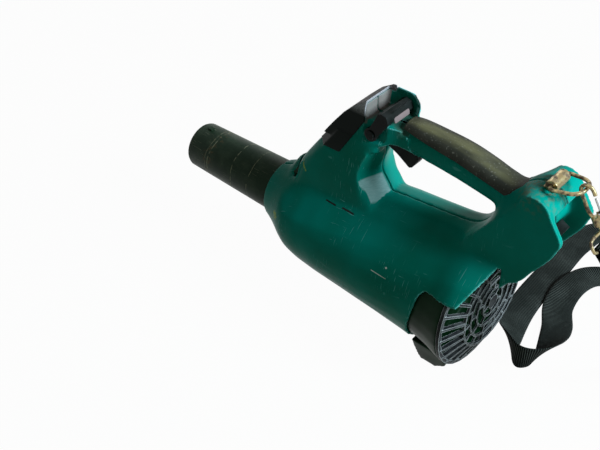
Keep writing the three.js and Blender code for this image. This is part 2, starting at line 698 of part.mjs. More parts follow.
const pipeTube = shell(pipeOuter, pipeInner, 32);
add("outlet_pipe", join(pipeTube, pipeLug, tipLug, turnedBy(tipLug, Math.PI)), pipeBlack);

// A cambered blade whose rings of points stand on cylinders round the fan axis
const bladeShares = [
  // along the chord and across it, in thicknesses
  [-0.5, 0], [-0.25, 0.5], [0.1, 0.5], [0.5, 0.08], [0.1, -0.4], [-0.25, -0.4],
];
const camberShare = 0.25;
function blade(radii, chord, twists, thick, station, angle) {
  const axis = new THREE.Vector3(1, 0, 0);
  return skin(radii.map((r, i) => {
    const c = Math.cos(twists[i]);
    const s = Math.sin(twists[i]);
    return bladeShares.map(([a, b]) => {
      const along = a * chord;
      const across = b * thick + (0.25 - a * a) * chord * camberShare;
      const side = along * s + across * c;
      const place = new THREE.Vector3(station + along * c - across * s, side, Math.sqrt(r * r - side * side));
      return place.applyAxisAngle(axis, angle);
    });
  }));
}

// Motor pod in the duct, on straightening vanes
const podGap = 0.8; // between the pod and the impeller's hub
const fanHalf = 12; // half the room along the axis that the impeller needs
const podRear = fanStation - fanHalf;
const podFront = podRear - podLong;
const podNoseShares = [[0, 0], [0.018, 0.15], [0.109, 0.48], [0.218, 0.8], [0.345, 0.97], [0.436, 1]];
const frontBearingX = podFront + podLong * 0.382;
const capLip = 1;
const rearBearingX = podRear - bearingWide - capLip;
const shaftRelief = 1; // radial clearance of the shaft through a wall
const noseBoreLong = 14; // room for the shaft's end ahead of the front bearing
const pod = revolve([
  ...podNoseShares.map(([along, r]) => [podFront + podLong * along, podRadius * r]),
  [podRear, podRadius], [podRear, podRadius - podWall], [frontBearingX + bearingWide, podRadius - podWall],
  [frontBearingX + bearingWide, bearingRadius + gap], [frontBearingX - gap, bearingRadius + gap],
  [frontBearingX - gap, shaftRadius + shaftRelief], [frontBearingX - noseBoreLong, shaftRadius + shaftRelief],
  [frontBearingX - noseBoreLong, 0],
], 24);
const vaneCount = 7;
const vaneChord = 40;
const vaneThick = 2.2;
const vaneTurn = 0.12;
const vaneStation = podFront + podLong * 0.69;
const rooted = 1; // how far a blade or vane runs into what carries it
const vaneRadii = [podRadius - rooted, ductRadius + rooted];
const vanes = around(vaneCount, (a) =>
  blade(vaneRadii, vaneChord, [vaneTurn, vaneTurn], vaneThick, vaneStation, a));
add("fan_duct", join(shell(ductOuter, ductInner, ductSides), pod, ...vanes), black);

// Motor: bearings, stator, rotor on its shaft, and an end cap
const statorGap = 7; // between the front bearing and the stator
const statorLong = 37;
const statorBore = 14;
const statorOuter = podRadius - podWall - gap;
const airGap = 0.6;
const slotDeep = 6;
const slotWide = 4;
const slotCount = 6;
const statorFront = frontBearingX + bearingWide + statorGap;
const statorSpan = [statorFront, statorFront + statorLong];
const statorSlot = block(
  grow(statorSpan, overrun),
  [-slotWide / 2, slotWide / 2],
  [statorBore - overrun, statorBore + slotDeep],
);
const statorSlots = around(slotCount, (a) => turnedBy(statorSlot, a));
add("motor_stator", cut(ringPart(statorSpan, statorBore, statorOuter, 24), ...statorSlots), copper);
const rotorSpan = grow(statorSpan, -shaftRelief);
add("motor_rotor", ringPart(rotorSpan, shaftRadius + gap, statorBore - airGap, 20), steel);
const bearing = (x) => ringPart([x, x + bearingWide - gap], shaftRadius + play, bearingRadius, 20);
add("front_bearing", bearing(frontBearingX), steel);
add("rear_bearing", bearing(rearBearingX), steel);
const capThick = 4;
add("motor_end_cap", shell(
  [[rearBearingX - capThick, statorOuter], [rearBearingX + bearingWide, statorOuter]],
  [
    [rearBearingX - capThick, shaftRadius + shaftRelief], [rearBearingX - gap, shaftRadius + shaftRelief],
    [rearBearingX - gap, bearingRadius + gap], [rearBearingX + bearingWide, bearingRadius + gap],
  ],
  24,
), greyPlastic);

// Impeller with its nose towards the intake
const hubLong = 41;
const hubFront = podRear + podGap;
const hubBoreEnd = 28; // from the hub's front to the end of the shaft's socket
const hubNoseShares = [[0.616, 1], [0.811, 0.833], [0.932, 0.556], [1, 0]];
const hubHollowShares = [[0.28, 0.333], [0.47, 0.778], [0, 0.815]];
const hub = revolve([
  [hubFront, podRadius],
  ...hubNoseShares.map(([along, r]) => [hubFront + hubLong * along, podRadius * r]),
  [hubFront + hubBoreEnd, 0], [hubFront + hubBoreEnd, shaftRadius + gap],
  [hubFront + hubLong * hubHollowShares[0][0], shaftRadius + gap],
  ...hubHollowShares.map(([along, r]) => [hubFront + hubLong * along, podRadius * r]),
  [hubFront, podRadius],
], 24);
const bladeCount = 9;
const bladeChord = 30;
const bladeThick = 2.4;
const bladeTwists = [0.75, 0.95, 1.1];
const tipClearance = 0.8;
const bladeRadii = [podRadius - 2 * rooted, (podRadius + ductRadius) / 2, ductRadius - tipClearance];
const fanBlades = around(bladeCount, (a) =>
  blade(bladeRadii, bladeChord, bladeTwists, bladeThick, fanStation + rooted, a));
add("impeller", join(hub, ...fanBlades), black);
const shaftFront = frontBearingX - noseBoreLong + 2 * shaftRelief;
add("motor_shaft", rod("x", shaftRadius, [shaftFront, hubFront + hubBoreEnd - shaftRelief]), steel);

// Intake housing with the rear foot
const intakeInner = [
  ...intakeStationShares.map((share) => [-intakeLong * share, intakeR(-intakeLong * share) - intakeWall]),
  [0, rimRadius - rimWide],
];
const footShares = [
  [0.808, 0.614], [0.784, 0.758], [0.715, 0.918], [0.658, 0.981], [0.618, 1], [0.385, 1], [0.26, 0.928],
  [0.081, 0.83], [0.068, 0.614],
];
const footCrossShares = [[0.935, 1], [1, 0.971], [1.13, 0.773], [1.348, 0.483]];
const foot = common(
  sidePlate(footShares.map(([a, b]) => [-intakeLong * a, -axisHeight * b]), -coverRadius, coverRadius),
  crossPlate(mirrored(footCrossShares.map(([a, b]) => [footHalf * a, -axisHeight * b])), -intakeLong, 0),
);
// A collar round the duct's flare
const ductCollarBack = 42;
const collarSpan = [-ductCollarBack, ribWidth - ductCollarBack];
const ductCollar = shell(
  collarSpan.map((x) => [x, intakeR(x) - intakeWall / 2]),
  collarSpan.map((x) => [x, ductR(x) + ductWall + gap]),
  ductSides,
);
const intakeBore = revolve([
  [-intakeLong - overrun, 0], [-intakeLong - overrun, intakeInner[0][1]], ...intakeInner,
  [overrun, rimRadius - rimWide], [overrun, 0],
], intakeSides);
const intakeBody = revolve([[-intakeLong, 0], ...intakeOuter, [0, 0]], intakeSides);
add("intake_housing", join(cut(join(intakeBody, foot), intakeBore), ductCollar), black);

// Intake grille: a slatted cone and a face of rings and staggered spokes
const slatCount = 30;
const barThick = 3.2;
const rimThick = 4.5;
const faceThick = 3;
const faceRingWide = 2.4;
const faceRingShares = [1, 0.79, 0.57, 0.35]; // radii of the face's rings
const spokeCounts = [15, 10, 5, 5];
const faceBossShare = 0.16;
const slatRootShare = 0.966;
const slat = sidePlate([
  [gap, rimRadius * slatRootShare], [gap + rimThick, rimRadius - barThick / 2],
  [faceStep, faceRadius - barThick / 4], [faceStep - rimThick, faceRadius - barThick],
], -barThick / 2, barThick / 2);
const slats = around(slatCount, (a) => turnedBy(slat, a));
const faceSpan = [faceStep - faceThick, faceStep];
const faceRings = faceRingShares.map((share) =>
  ringPart(faceSpan, faceRadius * share - faceRingWide, faceRadius * share, 24));
const spokes = spokeCounts.flatMap((count, i) => {
  const reach = [faceRingShares[i + 1] || 0, faceRingShares[i]].map((share) => faceRadius * share);
  const spoke = block(
    grow(faceSpan, -gap),
    [-barThick / 3, barThick / 3],
    [Math.max(0, reach[0] - barThick / 2), reach[1] - barThick / 2],
  );
  return around(count, (a) => turnedBy(spoke, a + ((i % 2) * Math.PI) / count));
});
const faceBoss = rod("x", faceRadius * faceBossShare, [faceSpan[0], faceSpan[1] + gap], [0, 0], 16);
const grilleRim = ringPart([gap, gap + rimThick], rimRadius - rimWide, rimRadius, intakeSides);
add("intake_grille", join(grilleRim, ...slats, ...faceRings, ...spokes, faceBoss), black);

// Trigger, its pin, and the switch that it presses
add("trigger", cut(
  sidePlate(
    triggerShares.map(([a, b]) => [triggerPinX + triggerLong * a, triggerPinZ + triggerHigh * b]),
    -triggerHalf,
    triggerHalf,
  ),
  rod("y", pinRadius + play, grow([-triggerHalf, triggerHalf], overrun), triggerPin, 16),
), black);
add("trigger_pin", rod("y", pinRadius, [-pinHalf, pinHalf], triggerPin, 16), steel);
const plungerAhead = 26;
const plungerX = triggerPinX + plungerAhead;
const plungerRadius = 2.2;
const plungerRise = 1.9; // from the pin's height to the plunger's tip
const plungerLong = 11.6;
const plungerBore = 11;
const plungerFoot = triggerPinZ + plungerRise;
const plungerSpan = [plungerFoot, plungerFoot + plungerLong];
add("switch_plunger", rod("z", plungerRadius, plungerSpan, [plungerX, 0], 12), greyPlastic);
add("switch_body", cut(
  block(switchX, [-switchHalf, switchHalf], switchZ),
  rod("z", plungerRadius + gap, [switchZ[0] - overrun, switchZ[0] + plungerBore], [plungerX, 0], 12),
), black);

// Cruise lever: a boss on the left flank and an arm over the handle. Its outlines are in boss radii.
const armShares = [[-0.82, -0.35], [0.59, -0.71], [2.71, 2.59], [2.35, 3.65], [1.06, 3.65]];
const barShares = [[0.94, 2.35], [2.35, 2.12], [2.71, 2.71], [2.35, 3.65], [1.53, 3.88], [0.94, 3.53]];
const atLever = ([a, b]) => [leverX + bossRadius * a, leverZ + bossRadius * b];
const leverSpan = [leverFace, leverFace + leverThick];
add("cruise_lever", cut(
  join(
    rod("y", bossRadius, leverSpan, [leverX, leverZ]),
    sidePlate(armShares.map(atLever), ...leverSpan),
    sidePlate(barShares.map(atLever), leverFace, pocketFar - swing),
  ),
  rod("y", leverPinRadius + play, grow(leverSpan, overrun), [leverX, leverZ]),
), black);
const pinHeadHigh = 1.4;
const pinHeadProud = 2.4;
add("lever_pin", join(
  rod("y", leverPinRadius, leverPinSpan, [leverX, leverZ]),
  rod("y", leverPinRadius + pinHeadProud, [leverPinSpan[0] - pinHeadHigh, leverPinSpan[0]], [leverX, leverZ]),
), steel);

// Controller and battery terminals. Places on the bay's floor are a share along it and a height above it.
add("controller", block(...controllerBox), greyPlastic);
const bayLow = atFrame(bayShares[0]);
const bayHigh = atFrame(bayShares[1]);
const floorAlong = new THREE.Vector2(bayHigh[0] - bayLow[0], bayHigh[1] - bayLow[1]);
const floorOut = new THREE.Vector2(floorAlong.y, -floorAlong.x).normalize();
const bayAt = ([share, out]) => [
  bayLow[0] + floorAlong.x * share + floorOut.x * out,
  bayLow[1] + floorAlong.y * share + floorOut.y * out,
];
const terminalHigh = 12;
const terminalHalf = 14;
const terminalShares = [0.56, 0.62, 0.96];
const contactHalf = 0.7;
const contactApart = 14;
const contactSeat = 2.5; // how far a contact's slot stays above the floor
const contactShares = [0.64, 0.88];
const slotMargin = 0.02;
const contactPlaces = [-contactApart / 2, contactApart / 2];
const contactOutline = ([from, to], low, high) =>
  [[from, low], [from, high], [to, high], [to, low]].map(bayAt);
const terminalSlots = contactPlaces.map((y) =>
  sidePlate(
    contactOutline(grow(contactShares, slotMargin), contactSeat, terminalHigh + overrun),
    ...grow([y - contactHalf, y + contactHalf], gap),
  ));
add("terminal_block", cut(
  sidePlate(
    [
      [terminalShares[0], gap], [terminalShares[0], terminalHigh - overrun],
      [terminalShares[1], terminalHigh], [terminalShares[2], terminalHigh], [terminalShares[2], gap],
    ].map(bayAt),
    -terminalHalf,
    terminalHalf,
  ),
  ...terminalSlots,
), black);
["negative_contact", "positive_contact"].forEach((name, i) => {
  const outline = contactOutline(contactShares, contactSeat + gap, terminalHigh - contactHalf);
  add(name, sidePlate(outline, contactPlaces[i] - contactHalf, contactPlaces[i] + contactHalf), brassContact);
});

// Hanger, ring, snap hook and swivel
const saddleTop = frameZ(rearPostShares[rearPostShares.length - 1][0]);
const ringWire = 2.1;
add("hanger_bracket", cut(
  join(
    rod("y", hangerRadius, [-hangerHalf, hangerHalf], [hangerX, hangerZ], 24),
    block(
      [hangerX - plateAhead, hangerX + plateBehind],
      [-hangerHalf, hangerHalf],
      [saddleTop + gap, saddleTop + gap + plateThick],
    ),
  ),
  rod("y", ringWire + 2 * gap, grow([-hangerHalf, hangerHalf], overrun), [hangerX, hangerZ], 16),
), zinc);

const acrossY = new THREE.Vector3(0, 1, 0);
const ringTilt = new THREE.Vector3(30, 0, 5).normalize();
const ringLong = 31;
const ringHalf = 17.5;
const ringShares = [
  // across and along, in half widths and lengths
  [0, 0], [0.8, 0], [0.94, 0.03], [1, 0.13], [0.98, 0.32], [0.94, 0.52], [0.84, 0.75], [0.6, 0.92], [0.3, 0.985],
];
const onRing = (y, along) => [hangerX + ringTilt.x * along, y, hangerZ + ringTilt.z * along];
const ringPoints = [...ringShares, [0, 1], ...ringShares.slice(1).map(([a, b]) => [-a, b]).reverse()]
  .map(([a, b]) => onRing(ringHalf * a, ringLong * b));
const ringNormal = new THREE.Vector3().crossVectors(acrossY, ringTilt);
add("carry_ring", wireRing(ringPoints, ringWire, ringNormal, 8, 32), zinc);

const hookDown = new THREE.Vector3(16, 0, -25).normalize();
const hookAt = onRing(0, ringLong);
const inHook = ([across, down]) => [
  hookAt[0] + hookDown.x * down - hookDown.z * across, hookAt[2] + hookDown.z * down + hookDown.x * across];
const hookPoint = (across, down) => {
  const [x, z] = inHook([across, down]);
  return [x, 0, z];
};
const hookWire = 2.3;
const hookHalf = 7;
const hookReach = 24; // how far down the hook's back runs straight
const bendShare = 0.7;
const barrelLong = 10;
const barrelRadius = 6;
const barrelDown = 30;
const barrelSink = 3; // how far the hook's wire and the stem run into the barrel
const hookTop = ringWire + gap + hookWire - hookHalf;
const hookNose = 8; // down to the hook's open end
const hookBody = bar([
  hookPoint(-hookHalf / 2, barrelDown + barrelSink), hookPoint(-hookHalf, hookReach),
  hookPoint(-hookHalf, hookReach / 2), hookPoint(-hookHalf, -hookTop),
  hookPoint(-hookHalf * bendShare, -hookTop - hookHalf * bendShare),
  hookPoint(0, -hookTop - hookHalf), hookPoint(hookHalf * bendShare, -hookTop - hookHalf * bendShare),
  hookPoint(hookHalf, -hookTop), hookPoint(hookHalf, hookNose),
], hookWire, 8, 24);
const hookTurn = new THREE.Quaternion().setFromUnitVectors(acrossY, hookDown);
function alongHook(radius, [from, to], sides) {
  const geometry = new THREE.CylinderGeometry(radius, radius, to - from, sides);
  geometry.applyQuaternion(hookTurn).translate(...hookPoint(0, (from + to) / 2));
  return solidOf(geometry);
}
const barrelSpan = [barrelDown, barrelDown + barrelLong];
const stemRadius = 2.5;
const stemSpan = [barrelDown + barrelSink, barrelDown + barrelLong + 2 * stemRadius];
const gateWire = 1.9;
const gatePinDown = 26;
const gatePinRadius = 1;
const [gateX, gateZ] = inHook([hookHalf, gatePinDown]);
const earHalf = 4.4;
const earSlotHalf = 2.5;
const earShares = [[0.29, 1.27], [1.36, 1.19], [1.43, 0.9], [0.57, 0.9]]; // in half widths and pin depths
const earSlotShares = [[0.29, 1.135], [1.86, 1.135], [1.86, 0.77], [0, 0.77]];
const atEar = ([a, b]) => inHook([hookHalf * a, gatePinDown * b]);
const gateEar = sidePlate(earShares.map(atEar), -earHalf, earHalf);
const earSlot = sidePlate(earSlotShares.map(atEar), -earSlotHalf, earSlotHalf);
const pinSpan = grow([-earHalf, earHalf], overrun);
add("snap_hook", cut(
  join(hookBody, alongHook(barrelRadius, barrelSpan, 20), cut(gateEar, earSlot)),
  alongHook(stemRadius + play, grow(stemSpan, gap), 16),
  rod("y", gatePinRadius + gap, pinSpan, [gateX, gateZ], 12),
), zinc);
const gateTop = hookNose + gateWire + 2 * gap;
const gateEye = 2.9;
const gateEyeHalf = earSlotHalf - 1.4 * gap;
const gateLow = gatePinDown - gateEye / 2;
const gateBar = [gateTop, middleOf([gateTop, gateLow]), gateLow].map((down) => hookPoint(hookHalf, down));
add("hook_gate", cut(
  join(
    bar(gateBar, gateWire, 8, 4),
    rod("y", gateEye, [-gateEyeHalf, gateEyeHalf], [gateX, gateZ], 16),
  ),
  rod("y", gatePinRadius + play, pinSpan, [gateX, gateZ], 12),
), steel);
add("gate_pin", rod("y", gatePinRadius, [-earHalf, earHalf], [gateX, gateZ], 12), steel);

const eyeHalf = 24;
const eyeTop = 46; // down from the ring to the eye's upper bar
const eyeLong = 14;
const eyeWire = 2;
const eyeBar = eyeTop + eyeLong;
const eyeShares = [
  [0, 0], [0.84, 0], [0.98, 0.12], [1, 0.5], [0.98, 0.88], [0.84, 1], [0, 1], [-0.84, 1], [-0.98, 0.88], [-1, 0.5],
  [-0.98, 0.12], [-0.84, 0],
];
const eyePoints = eyeShares.map(([a, b]) => {
  const [x, z] = inHook([0, eyeTop + eyeLong * b]);
  return [x, a * eyeHalf, z];
});
const eyeNormal = new THREE.Vector3().crossVectors(acrossY, hookDown);
const eyeRing = wireRing(eyePoints, eyeWire, eyeNormal, 8, 30);
add("swivel_eye", join(alongHook(stemRadius, [stemSpan[0], eyeTop], 16), eyeRing), zinc);

// Strap: both ends are sewn round the swivel's bar, and the loop lies on the ground behind the blower
const sewnLong = 44;
const sewnShoulder = 12;
const loopInner = eyeWire + 2 * gap;
const sewnHalf = webThick + gap;
const loopSteps = 10;
const loopOuter = loopInner + webThick;
const loopTurns = Array.from({ length: loopSteps + 1 }, (_, i) => (Math.PI * i) / loopSteps);
const sewnOutline = [
  ...loopTurns.map((turn) => [loopOuter * Math.cos(turn), eyeBar - loopOuter * Math.sin(turn)]),
  [-sewnHalf, eyeBar + sewnShoulder], [-sewnHalf, eyeBar + sewnLong], [sewnHalf, eyeBar + sewnLong],
  [sewnHalf, eyeBar + sewnShoulder],
];
const sewnHole = rod("y", loopInner, [-eyeHalf, eyeHalf], inHook([0, eyeBar]), 16);
add("strap_end", cut(sidePlate(sewnOutline.map(inHook), -webWidth / 2, webWidth / 2), sewnHole), webbing);

// Ribbon along points, each with the direction of its width.
function ribbon(rows, thick, width, steps) {
  const middle = new THREE.CatmullRomCurve3(rows.map(([p]) => new THREE.Vector3(...p)), false, "centripetal");
  const sides = new THREE.CatmullRomCurve3(rows.map(([, w]) => new THREE.Vector3(...w)), false, "centripetal");
  const rings = [];
  for (let i = 0; i <= steps; i++) {
    const t = i / steps;
    const centre = middle.getPoint(t);
    const along = middle.getTangent(t);
    const side = sides.getPoint(t);
    side.addScaledVector(along, -side.dot(along)).normalize();
    const up = new THREE.Vector3().crossVectors(along, side);
    rings.push([[-1, -1], [1, -1], [1, 1], [-1, 1]].map(([a, b]) =>
      centre.clone().addScaledVector(side, (a * width) / 2).addScaledVector(up, (b * thick) / 2)));
  }
  return skin(rings);
}
const groundZ = -axisHeight + webThick / 2 + 2 * gap;
const strapRows = [
  // place, direction of the width
  [hookPoint((webThick + gap) / 2, eyeBar + sewnLong + gap), [0, 1, 0]],
  [hookPoint((webThick + gap) / 2, eyeBar + sewnLong + sewnShoulder), [0, 1, 0]],
  [[176, 5, 80], [0.1, 1, 0]],
  [[190, 22, 40], [0.5, 0.85, 0]],
  [[203, 52, -30], [0.8, 0.5, 0]],
  [[206, 92, groundZ + 18], [0.95, 0.2, 0]],
  [[200, 136, groundZ], [0.95, 0.3, 0]],
  [[178, 196, groundZ], [0.85, 0.5, 0]],
  [[140, 252, groundZ], [0.7, 0.7, 0]],
  [[90, 300, groundZ], [0.5, 0.85, 0]],
  [[42, 324, groundZ], [0, 1, 0]],
  [[8, 308, groundZ], [-0.8, 0.55, 0]],
  [[-2, 262, groundZ], [-1, 0, 0]],
  [[0, 200, groundZ], [-1, 0, 0]],
  [[2, 140, groundZ], [-1, 0, 0]],
  [[8, 92, groundZ + 1], [-1, 0, 0.1]],
  [[22, 52, groundZ + 12], [-0.85, 0, 0.5]],
  [[38, 26, groundZ + 20], [-0.3, 0, 1]],
  [[54, 18, groundZ + 20], [0, 0, 1]],
  [[69, 30, groundZ + 20], [0.3, 0, 1]],
  [[71, 60, groundZ + 16], [0.75, 0, 0.65]],
  [[60, 100, groundZ + 7], [1, 0.1, 0.2]],
  [[40, 140, groundZ + 3], [1, 0.2, 0]],
  [[36, 180, groundZ + 6], [1, 0.1, 0]],
  [[46, 216, groundZ + 4], [0.8, -0.5, 0]],
  [[72, 236, groundZ], [0.2, -1, 0]],
  [[106, 220, groundZ], [-0.6, -0.8, 0]],
  [[132, 182, groundZ], [-0.9, -0.4, 0]],
  [[150, 136, groundZ], [-0.95, -0.3, 0]],
  [[158, 92, groundZ + 6], [-0.95, -0.2, 0]],
  [[160, 52, -40], [-0.8, -0.5, 0]],
  [[160, 22, 20], [-0.5, -0.85, 0]],
  [[154, 5, 70], [-0.1, -1, 0]],
  [hookPoint(-(webThick + gap) / 2, eyeBar + sewnLong + sewnShoulder), [0, -1, 0]],
  [hookPoint(-(webThick + gap) / 2, eyeBar + sewnLong + gap), [0, -1, 0]],
];
add("strap", ribbon(strapRows, webThick, webWidth, 84), webbing);

pieces.position.set(-footCentre, 0, axisHeight);
const blower = new THREE.Group();
blower.add(pieces);
export default blower;
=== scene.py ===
# %% [markdown]
# This lesson finishes a hand-held cordless leaf blower around its packed CAD model.
# The CAD model holds every rigid piece at its real size, so this script never moves one.
# It gives each piece its finish, and it makes again, finer, what a faceted solid shows too
# plainly. Lengths are in metres unless a comment says millimetres. The pipe points to minus x,
# the left flank to minus y, and z is up.

import json
import math

import bmesh
import bpy
import numpy as np
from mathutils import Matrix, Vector


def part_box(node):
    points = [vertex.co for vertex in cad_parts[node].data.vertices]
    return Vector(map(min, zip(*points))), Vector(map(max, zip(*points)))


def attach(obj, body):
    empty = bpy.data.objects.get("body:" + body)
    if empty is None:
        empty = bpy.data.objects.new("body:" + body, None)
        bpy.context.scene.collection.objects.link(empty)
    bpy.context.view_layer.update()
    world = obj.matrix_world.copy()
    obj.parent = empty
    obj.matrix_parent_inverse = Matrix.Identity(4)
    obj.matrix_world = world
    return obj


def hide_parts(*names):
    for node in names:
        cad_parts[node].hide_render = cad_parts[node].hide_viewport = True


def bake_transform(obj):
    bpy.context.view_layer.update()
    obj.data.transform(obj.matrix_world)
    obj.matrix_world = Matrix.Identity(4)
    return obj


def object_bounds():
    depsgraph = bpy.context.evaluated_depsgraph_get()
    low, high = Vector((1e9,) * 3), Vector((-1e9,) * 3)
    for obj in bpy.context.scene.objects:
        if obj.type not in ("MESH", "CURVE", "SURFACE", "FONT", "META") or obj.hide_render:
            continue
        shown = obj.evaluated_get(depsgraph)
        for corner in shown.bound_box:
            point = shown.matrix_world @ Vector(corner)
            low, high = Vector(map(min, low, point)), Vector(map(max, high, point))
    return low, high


MM = 0.001

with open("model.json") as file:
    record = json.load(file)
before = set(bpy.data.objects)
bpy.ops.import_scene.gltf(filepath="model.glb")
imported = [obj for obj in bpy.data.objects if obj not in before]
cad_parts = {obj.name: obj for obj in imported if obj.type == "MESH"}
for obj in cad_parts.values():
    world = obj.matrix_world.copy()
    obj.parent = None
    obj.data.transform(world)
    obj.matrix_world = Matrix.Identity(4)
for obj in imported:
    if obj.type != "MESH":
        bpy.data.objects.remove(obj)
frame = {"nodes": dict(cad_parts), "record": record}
cad_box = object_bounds()
nodes = frame["nodes"]
slot_of = {part["node"]: part["material_slot"] for part in frame["record"]["subparts"]}
body_of = {
    name: body for body, names in frame["record"]["behaviour"]["bodies"].items() for name in names
}
print("nodes", len(nodes), "box", [round(v, 3) for corner in cad_box for v in corner])

# %% [markdown]
# The photograph looks down on the blower from its left and from behind, at about 40 degrees and
# through a long lens. The camera's place was found by lining up the pipe, the grille rings and
# the grip with their known sizes.

# %% Camera
CAMERA_AZIMUTH = math.radians(41.0)
CAMERA_ELEVATION = math.radians(40.4)
CAMERA_PLACE = Vector((0.4175, -0.7579, 0.9093))
LENS_MM = 60
SENSOR_MM = 36

back = Vector((
    math.sin(CAMERA_AZIMUTH) * math.cos(CAMERA_ELEVATION),
    -math.cos(CAMERA_AZIMUTH) * math.cos(CAMERA_ELEVATION),
    math.sin(CAMERA_ELEVATION),
))
camera = bpy.data.objects.new("camera", bpy.data.cameras.new("camera"))
camera.location = CAMERA_PLACE
camera.rotation_mode = "QUATERNION"
camera.rotation_quaternion = (-back).to_track_quat("-Z", "Y")
camera.data.lens = LENS_MM
camera.data.sensor_width = SENSOR_MM
bpy.context.scene.collection.objects.link(camera)
bpy.context.scene.camera = camera
bpy.context.scene.view_settings.view_transform = "Standard"
print("camera lens", LENS_MM, "mm, distance", round(CAMERA_PLACE.length, 2), "m")

# %% [markdown]
# Shader networks read best as formulas. This small class wraps a socket, so that a sum or a
# product of two masks is written as one, and each operator adds the Math node that it needs.

# %% Shader maths
class Value:
    """A float socket that Python operators can work on."""

    def __init__(self, tree, socket):
        self.tree = tree
        self.socket = socket

    def _math(self, operation, *operands):
        made = self.tree.nodes.new("ShaderNodeMath")
        made.operation = operation
        for place, operand in enumerate(operands):
            if isinstance(operand, Value):
                self.tree.links.new(operand.socket, made.inputs[place])
            else:
                made.inputs[place].default_value = operand
        return Value(self.tree, made.outputs[0])

    def __add__(self, other):
        return self._math("ADD", self, other)

    __radd__ = __add__

    def __mul__(self, other):
        return self._math("MULTIPLY", self, other)

    __rmul__ = __mul__

    def __sub__(self, other):
        return self._math("SUBTRACT", self, other)

    def __rsub__(self, other):
        return self._math("SUBTRACT", other, self)

    def clamp(self, low=0.0, high=1.0):
        return self._math("MINIMUM", self._math("MAXIMUM", self, low), high)

    def either(self, other):
        return self._math("MAXIMUM", self, other)

    def sine(self):
        return self._math("SINE", self)

    def size(self):
        return self._math("ABSOLUTE", self)

    def ramp(self, low, high):
        """0 below low and 1 above high, with a straight slope between them."""
        return ((self - low) * (1 / (high - low))).clamp()


print("shader maths", [name for name in vars(Value) if not name.startswith("_")])

# %% [markdown]
# A plain pale floor lies just under the foot. It is white only to the camera and to mirrors,
# so that it frames the blower like the photograph's bare ground and still takes a soft shadow.
# The key lamp stands behind the blower's rear end, on the right, and lights the faces that look
# back or up. Two weak lamps, over the left flank and beyond the right one, fill the rest.

# %% Stage and lamps
LAMP_TARGET = (0, 0, 0.15)
LAMPS = (
    # name, place, side of the square, watts, colour
    ("key", (1.8, 0.35, 1.45), 0.8, 118, (0.78, 0.98, 1.1)),
    ("fill", (-0.5, -0.9, 1.9), 1.2, 3.4, (0.95, 1.0, 0.9)),
    ("rim", (-1.1, 1.6, 0.9), 1.0, 5, (1, 1, 1)),
)
FLOOR_DROP = 0.0004
FLOOR_HALF = 6.0
FLOOR_COLOUR = (0.22, 0.25, 0.20, 1)
FLOOR_ROUGHNESS = 0.9
FLOOR_WHITENESS = 0.97
SKY_COLOUR = (0.9, 1.0, 0.95, 1)
SKY_STRENGTH = 0.06


def area_lamp(name, place, size, watts, colour):
    """A square lamp at place that faces the blower."""
    lamp = bpy.data.objects.new(name, bpy.data.lights.new(name, "AREA"))
    lamp.data.size = size
    lamp.data.energy = watts
    lamp.data.color = colour
    lamp.location = place
    lamp.rotation_mode = "QUATERNION"
    lamp.rotation_quaternion = (Vector(LAMP_TARGET) - Vector(place)).to_track_quat("-Z", "Y")
    bpy.context.scene.collection.objects.link(lamp)


def seen_white(tree, shader, share):
    """Mixes white light into a shader for what the camera and mirrors see, and nothing else."""
    light = tree.nodes.new("ShaderNodeLightPath")
    seen = Value(tree, light.outputs["Is Camera Ray"])
    for name in ("Is Glossy Ray", "Is Transmission Ray"):
        seen = seen.either(Value(tree, light.outputs[name]))
    white = tree.nodes.new("ShaderNodeEmission")
    mixed = tree.nodes.new("ShaderNodeMixShader")
    tree.links.new((seen * share).socket, mixed.inputs[0])
    tree.links.new(shader, mixed.inputs[1])
    tree.links.new(white.outputs[0], mixed.inputs[2])
    return mixed.outputs[0]


for lamp_row in LAMPS:
    area_lamp(*lamp_row)

floor_low = cad_box[0][2] - FLOOR_DROP
floor_mesh = bpy.data.meshes.new("floor")
corners = [(x * FLOOR_HALF, y * FLOOR_HALF, floor_low) for x, y in ((-1, -1), (1, -1), (1, 1), (-1, 1))]
floor_mesh.from_pydata(corners, [], [(0, 1, 2, 3)])
floor = bpy.data.objects.new("floor", floor_mesh)
bpy.context.scene.collection.objects.link(floor)
floor_paint = bpy.data.materials.new("floor")
floor_paint.use_nodes = True
floor_tree = floor_paint.node_tree
floor_shader = floor_tree.nodes["Principled BSDF"]
floor_shader.inputs["Base Color"].default_value = FLOOR_COLOUR
floor_shader.inputs["Roughness"].default_value = FLOOR_ROUGHNESS
floor_seen = seen_white(floor_tree, floor_shader.outputs[0], FLOOR_WHITENESS)
floor_tree.links.new(floor_seen, floor_tree.nodes["Material Output"].inputs[0])
floor_mesh.materials.append(floor_paint)

world = bpy.data.worlds.new("world")
bpy.context.scene.world = world
world.use_nodes = True
sky_tree = world.node_tree
sky = sky_tree.nodes["Background"]
sky.inputs[0].default_value = SKY_COLOUR
sky.inputs[1].default_value = SKY_STRENGTH
sky_seen = seen_white(sky_tree, sky.outputs[0], 1.0)
sky_tree.links.new(sky_seen, sky_tree.nodes["World Output"].inputs[0])
print("lamps", len(LAMPS), "floor at", round(floor_low, 4))

# %% [markdown]
# Each finish is a Principled shader with masks in front of it. Noise gives clouds and specks, and
# places on the object give the marks that one piece has in one spot. A bevelled normal compared
# with the true one finds the corners that hands and ground have rubbed.

# %% A finish under construction
BEVEL_SAMPLES = 4


